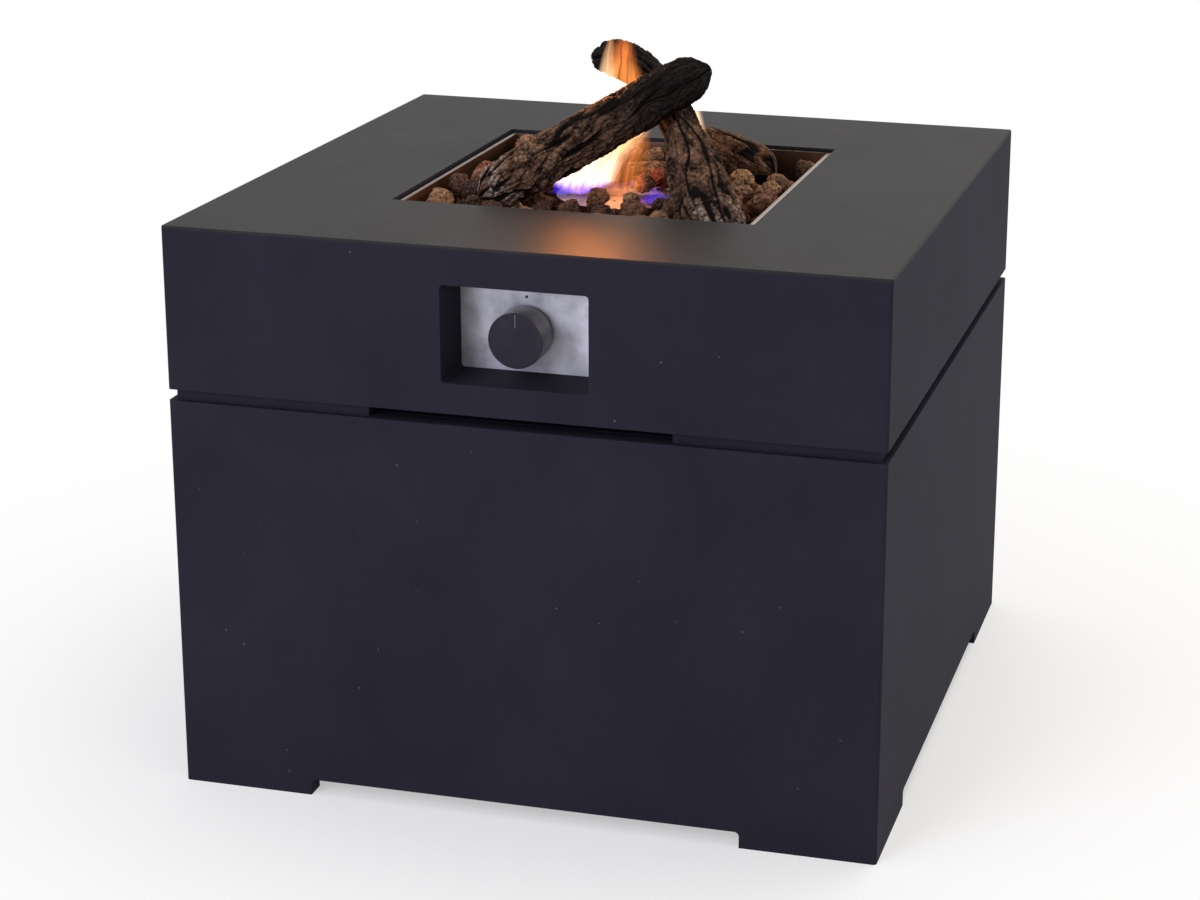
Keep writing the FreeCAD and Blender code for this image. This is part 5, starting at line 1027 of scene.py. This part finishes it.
def flame(name, foot, height, half_width, lean, colours, strength, seed, tear=0.5, fork_mm=4.0):
    """A flame from four lamps that can be seen: an upright sheet that faces the place the pit is
    looked at from, with the flame's lean, and one across it at the middle of the lean, with a
    lamp for either side of each."""
    crossed_foot = Vector(foot) + Vector((lean * 0.7, 0, 0))
    facing = Vector(CAMERA_PLACE) - crossed_foot
    facing = Vector((facing.x, facing.y, 0)).normalized()
    along = Vector((-facing.y, facing.x, 0))
    reach_out = half_width * 1.5
    sheets = (
        (foot, along, facing, lean, strength, "wide"),
        (crossed_foot, facing, along, 0, strength * CROSSED_SHARE, "crossed"),
    )
    for base, across, normal, sheet_lean, power, sheet in sheets:
        middle = Vector(base) + across * (sheet_lean / 2) + Vector((0, 0, height / 2))
        for side, end in ((1, "front"), (-1, "back")):
            thing = lamp(f"{name}_{sheet}_{end}", "AREA", middle, 1, "#FFFFFF")
            made = thing.data
            made.shape = "RECTANGLE"
            made.size, made.size_y = 2 * reach_out + abs(sheet_lean), height
            made.energy = math.pi * made.size * made.size_y
            made.use_nodes = True
            thing.rotation_mode = "QUATERNION"
            thing.rotation_quaternion = (normal * side).to_track_quat("Z", "Y")
            thing.visible_camera = True
            glow = (height, half_width, sheet_lean, colours, power, seed, tear, fork_mm)
            flame_glow(made.node_tree, across, base, *glow)


FLAMES = {
    "flame_main": dict(
        foot=(-0.036, -0.015, BURNER_TOP), height=0.104, half_width=0.036, lean=0.054,
        colours=WARM, strength=2.6, seed=1.0,
    ),
    "flame_veil": dict(
        foot=(0.003, -0.012, BURNER_TOP), height=0.09, half_width=0.024, lean=0.012,
        colours=ORANGE, strength=0.55, seed=15.0, tear=0.8, fork_mm=3.0,
    ),
    "flame_high": dict(
        foot=(0.009, -0.04, 0.545), height=0.08, half_width=0.033, lean=0.002,
        colours=ORANGE, strength=1.2, seed=7.0, tear=0.3, fork_mm=3.5,
    ),
    "flame_core": dict(
        foot=(-0.004, -0.041, 0.54), height=0.085, half_width=0.013, lean=0.002,
        colours=PALE, strength=1.1, seed=5.0, tear=0.3, fork_mm=3.0,
    ),
    "flame_behind": dict(
        foot=(0.059, 0.03, 0.514), height=0.054, half_width=0.010, lean=-0.004,
        colours=PALE, strength=1.1, seed=12.0,
    ),
    "flame_low": dict(
        foot=(-0.002, -0.008, BURNER_TOP), height=0.012, half_width=0.052, lean=0.0,
        colours=ROSE, strength=0.28, seed=21.0, tear=2.6,
    ),
    "flame_rim_right": dict(
        foot=(0.038, -0.03, BURNER_TOP), height=0.015, half_width=0.022, lean=0.0,
        colours=BLUE, strength=0.6, seed=33.0, tear=2.2, fork_mm=3.0,
    ),
    "flame_rim_left": dict(
        foot=(-0.05, -0.02, BURNER_TOP), height=0.022, half_width=0.014, lean=0.0,
        colours=BLUE, strength=0.7, seed=39.0, tear=1.8, fork_mm=3.0,
    ),
}
for name, shape in FLAMES.items():
    flame(name, **shape)

# The fire's warm light on the bed, and its long reflection on the rubbed top in front of it.
EMBER_PLACE = (0.0, -0.01, BURNER_TOP + 0.014)
SHEEN_PLACE = (-0.01, -0.04, 0.57)
SHEEN_AIM = (-0.018, -1, 0.5)
ember = lamp("ember_glow", "POINT", EMBER_PLACE, 0.09, "#FF9C5A")
ember.data.shadow_soft_size = 0.02
sheen = lamp("flame_sheen", "AREA", SHEEN_PLACE, 1.0, "#FF9448", 0.06, SHEEN_AIM)
sheen.visible_diffuse = False

# The studio: a white floor that keeps the pit's shadow and fades into a white surround, broad
# soft lamps, and the camera where the photograph was taken from.
PAPER_GREY = "#F4F4F4"
PAPER_WHITE = "#FFFFFF"
FLOOR_REACH = 4.0
FLOOR_SINK = 0.1 * MM
SHADE_START, SHADE_END = 0.35, 0.95
SHADE_SHARE = 0.45
PAPER_FIBRE_MM = 3
WORLD_LIGHT = 0.62


def seen_white(tree):
    """1 for the rays that show the surround as plain white: the camera's own, and those that a
    surface mirrors or lets through."""
    rays = add(tree, "LightPath").outputs
    seen = add(tree, "Math", [rays["Is Camera Ray"], rays["Is Glossy Ray"]], operation="ADD")
    seen = add(tree, "Math", [seen, rays["Is Transmission Ray"]], operation="ADD")
    return add(tree, "Math", [seen, 1.0], operation="MINIMUM")


paper, tree, shader, place = new_material("white_paper_floor")
tree.nodes.remove(shader)
far = add(tree, "VectorMath", [place], operation="LENGTH")
fade = add(tree, "MapRange", [far, SHADE_START, SHADE_END, SHADE_SHARE, 1.0])
fade = add(tree, "Math", [fade, seen_white(tree)], operation="MULTIPLY")
fibre = add(tree, "TexNoise", {"Vector": place, "Scale": per(PAPER_FIBRE_MM)})
colour = add(tree, "Mix", [fibre, linear(PAPER_GREY), linear(PAPER_WHITE)], data_type="RGBA")
matt = add(tree, "BsdfDiffuse", [colour])
bright = add(tree, "Emission", [(1, 1, 1, 1), 1.0])
fill(tree, tree.nodes["Material Output"], [add(tree, "MixShader", [fade, matt, bright])])
signs = np.array([(-1, -1), (1, -1), (1, 1), (-1, 1)])
floor_points = np.column_stack([signs * FLOOR_REACH, np.full(4, cad_low.z - FLOOR_SINK)])
floor = mesh_piece("floor", floor_points, [(0, 1, 2, 3)], paper, None)

world = bpy.data.worlds.new("white_surround")
bpy.context.scene.world = world
world.use_nodes = True
tree = world.node_tree
background = tree.nodes["Background"]
strength = add(tree, "MapRange", [seen_white(tree), 0, 1, WORLD_LIGHT, 1.0])
fill(tree, background, {"Strength": strength})
background.inputs["Color"].default_value = (1, 1, 1, 1)

middle = Vector((0, 0, 0.25))
lamp("soft_top", "AREA", (0.45, 0.6, 2.0), 19, "#FFF8EE", 1.4, middle)
lamp("soft_front", "AREA", (-1.0, -2.4, 1.3), 34, "#EAEDFF", 1.4, middle)
lamp("soft_right", "AREA", (2.1, -1.7, 1.5), 4.2, "#FFD9B4", 1.2, middle)

CAMERA_TURN = 13.868
CAMERA_TILT = 16.268
CAMERA_ROLL = 0.742
FOCAL_PIXELS = 2682.0
PRINCIPAL_X, PRINCIPAL_Y = 740, 360
PICTURE_WIDTH, PICTURE_HEIGHT = 1200, 900
lens = bpy.data.cameras.new("camera")
lens.sensor_width = 36
lens.lens = lens.sensor_width * FOCAL_PIXELS / PICTURE_WIDTH
lens.shift_x = (PICTURE_WIDTH / 2 - PRINCIPAL_X) / PICTURE_WIDTH
lens.shift_y = (PRINCIPAL_Y - PICTURE_HEIGHT / 2) / PICTURE_WIDTH
camera = bpy.data.objects.new("camera", lens)
turn, tilt, roll = (math.radians(value) for value in (CAMERA_TURN, CAMERA_TILT, CAMERA_ROLL))
back = Vector((math.sin(turn) * math.cos(tilt), -math.cos(turn) * math.cos(tilt), math.sin(tilt)))
right = Vector((math.cos(turn), math.sin(turn), 0))
up = back.cross(right)
across = right * math.cos(roll) + up * math.sin(roll)
upward = up * math.cos(roll) - right * math.sin(roll)
pose = Matrix((across, upward, back)).transposed().to_4x4()
pose.translation = CAMERA_PLACE
camera.matrix_world = pose
bpy.context.scene.collection.objects.link(camera)
bpy.context.scene.camera = camera
bpy.context.scene.view_settings.view_transform = "Standard"
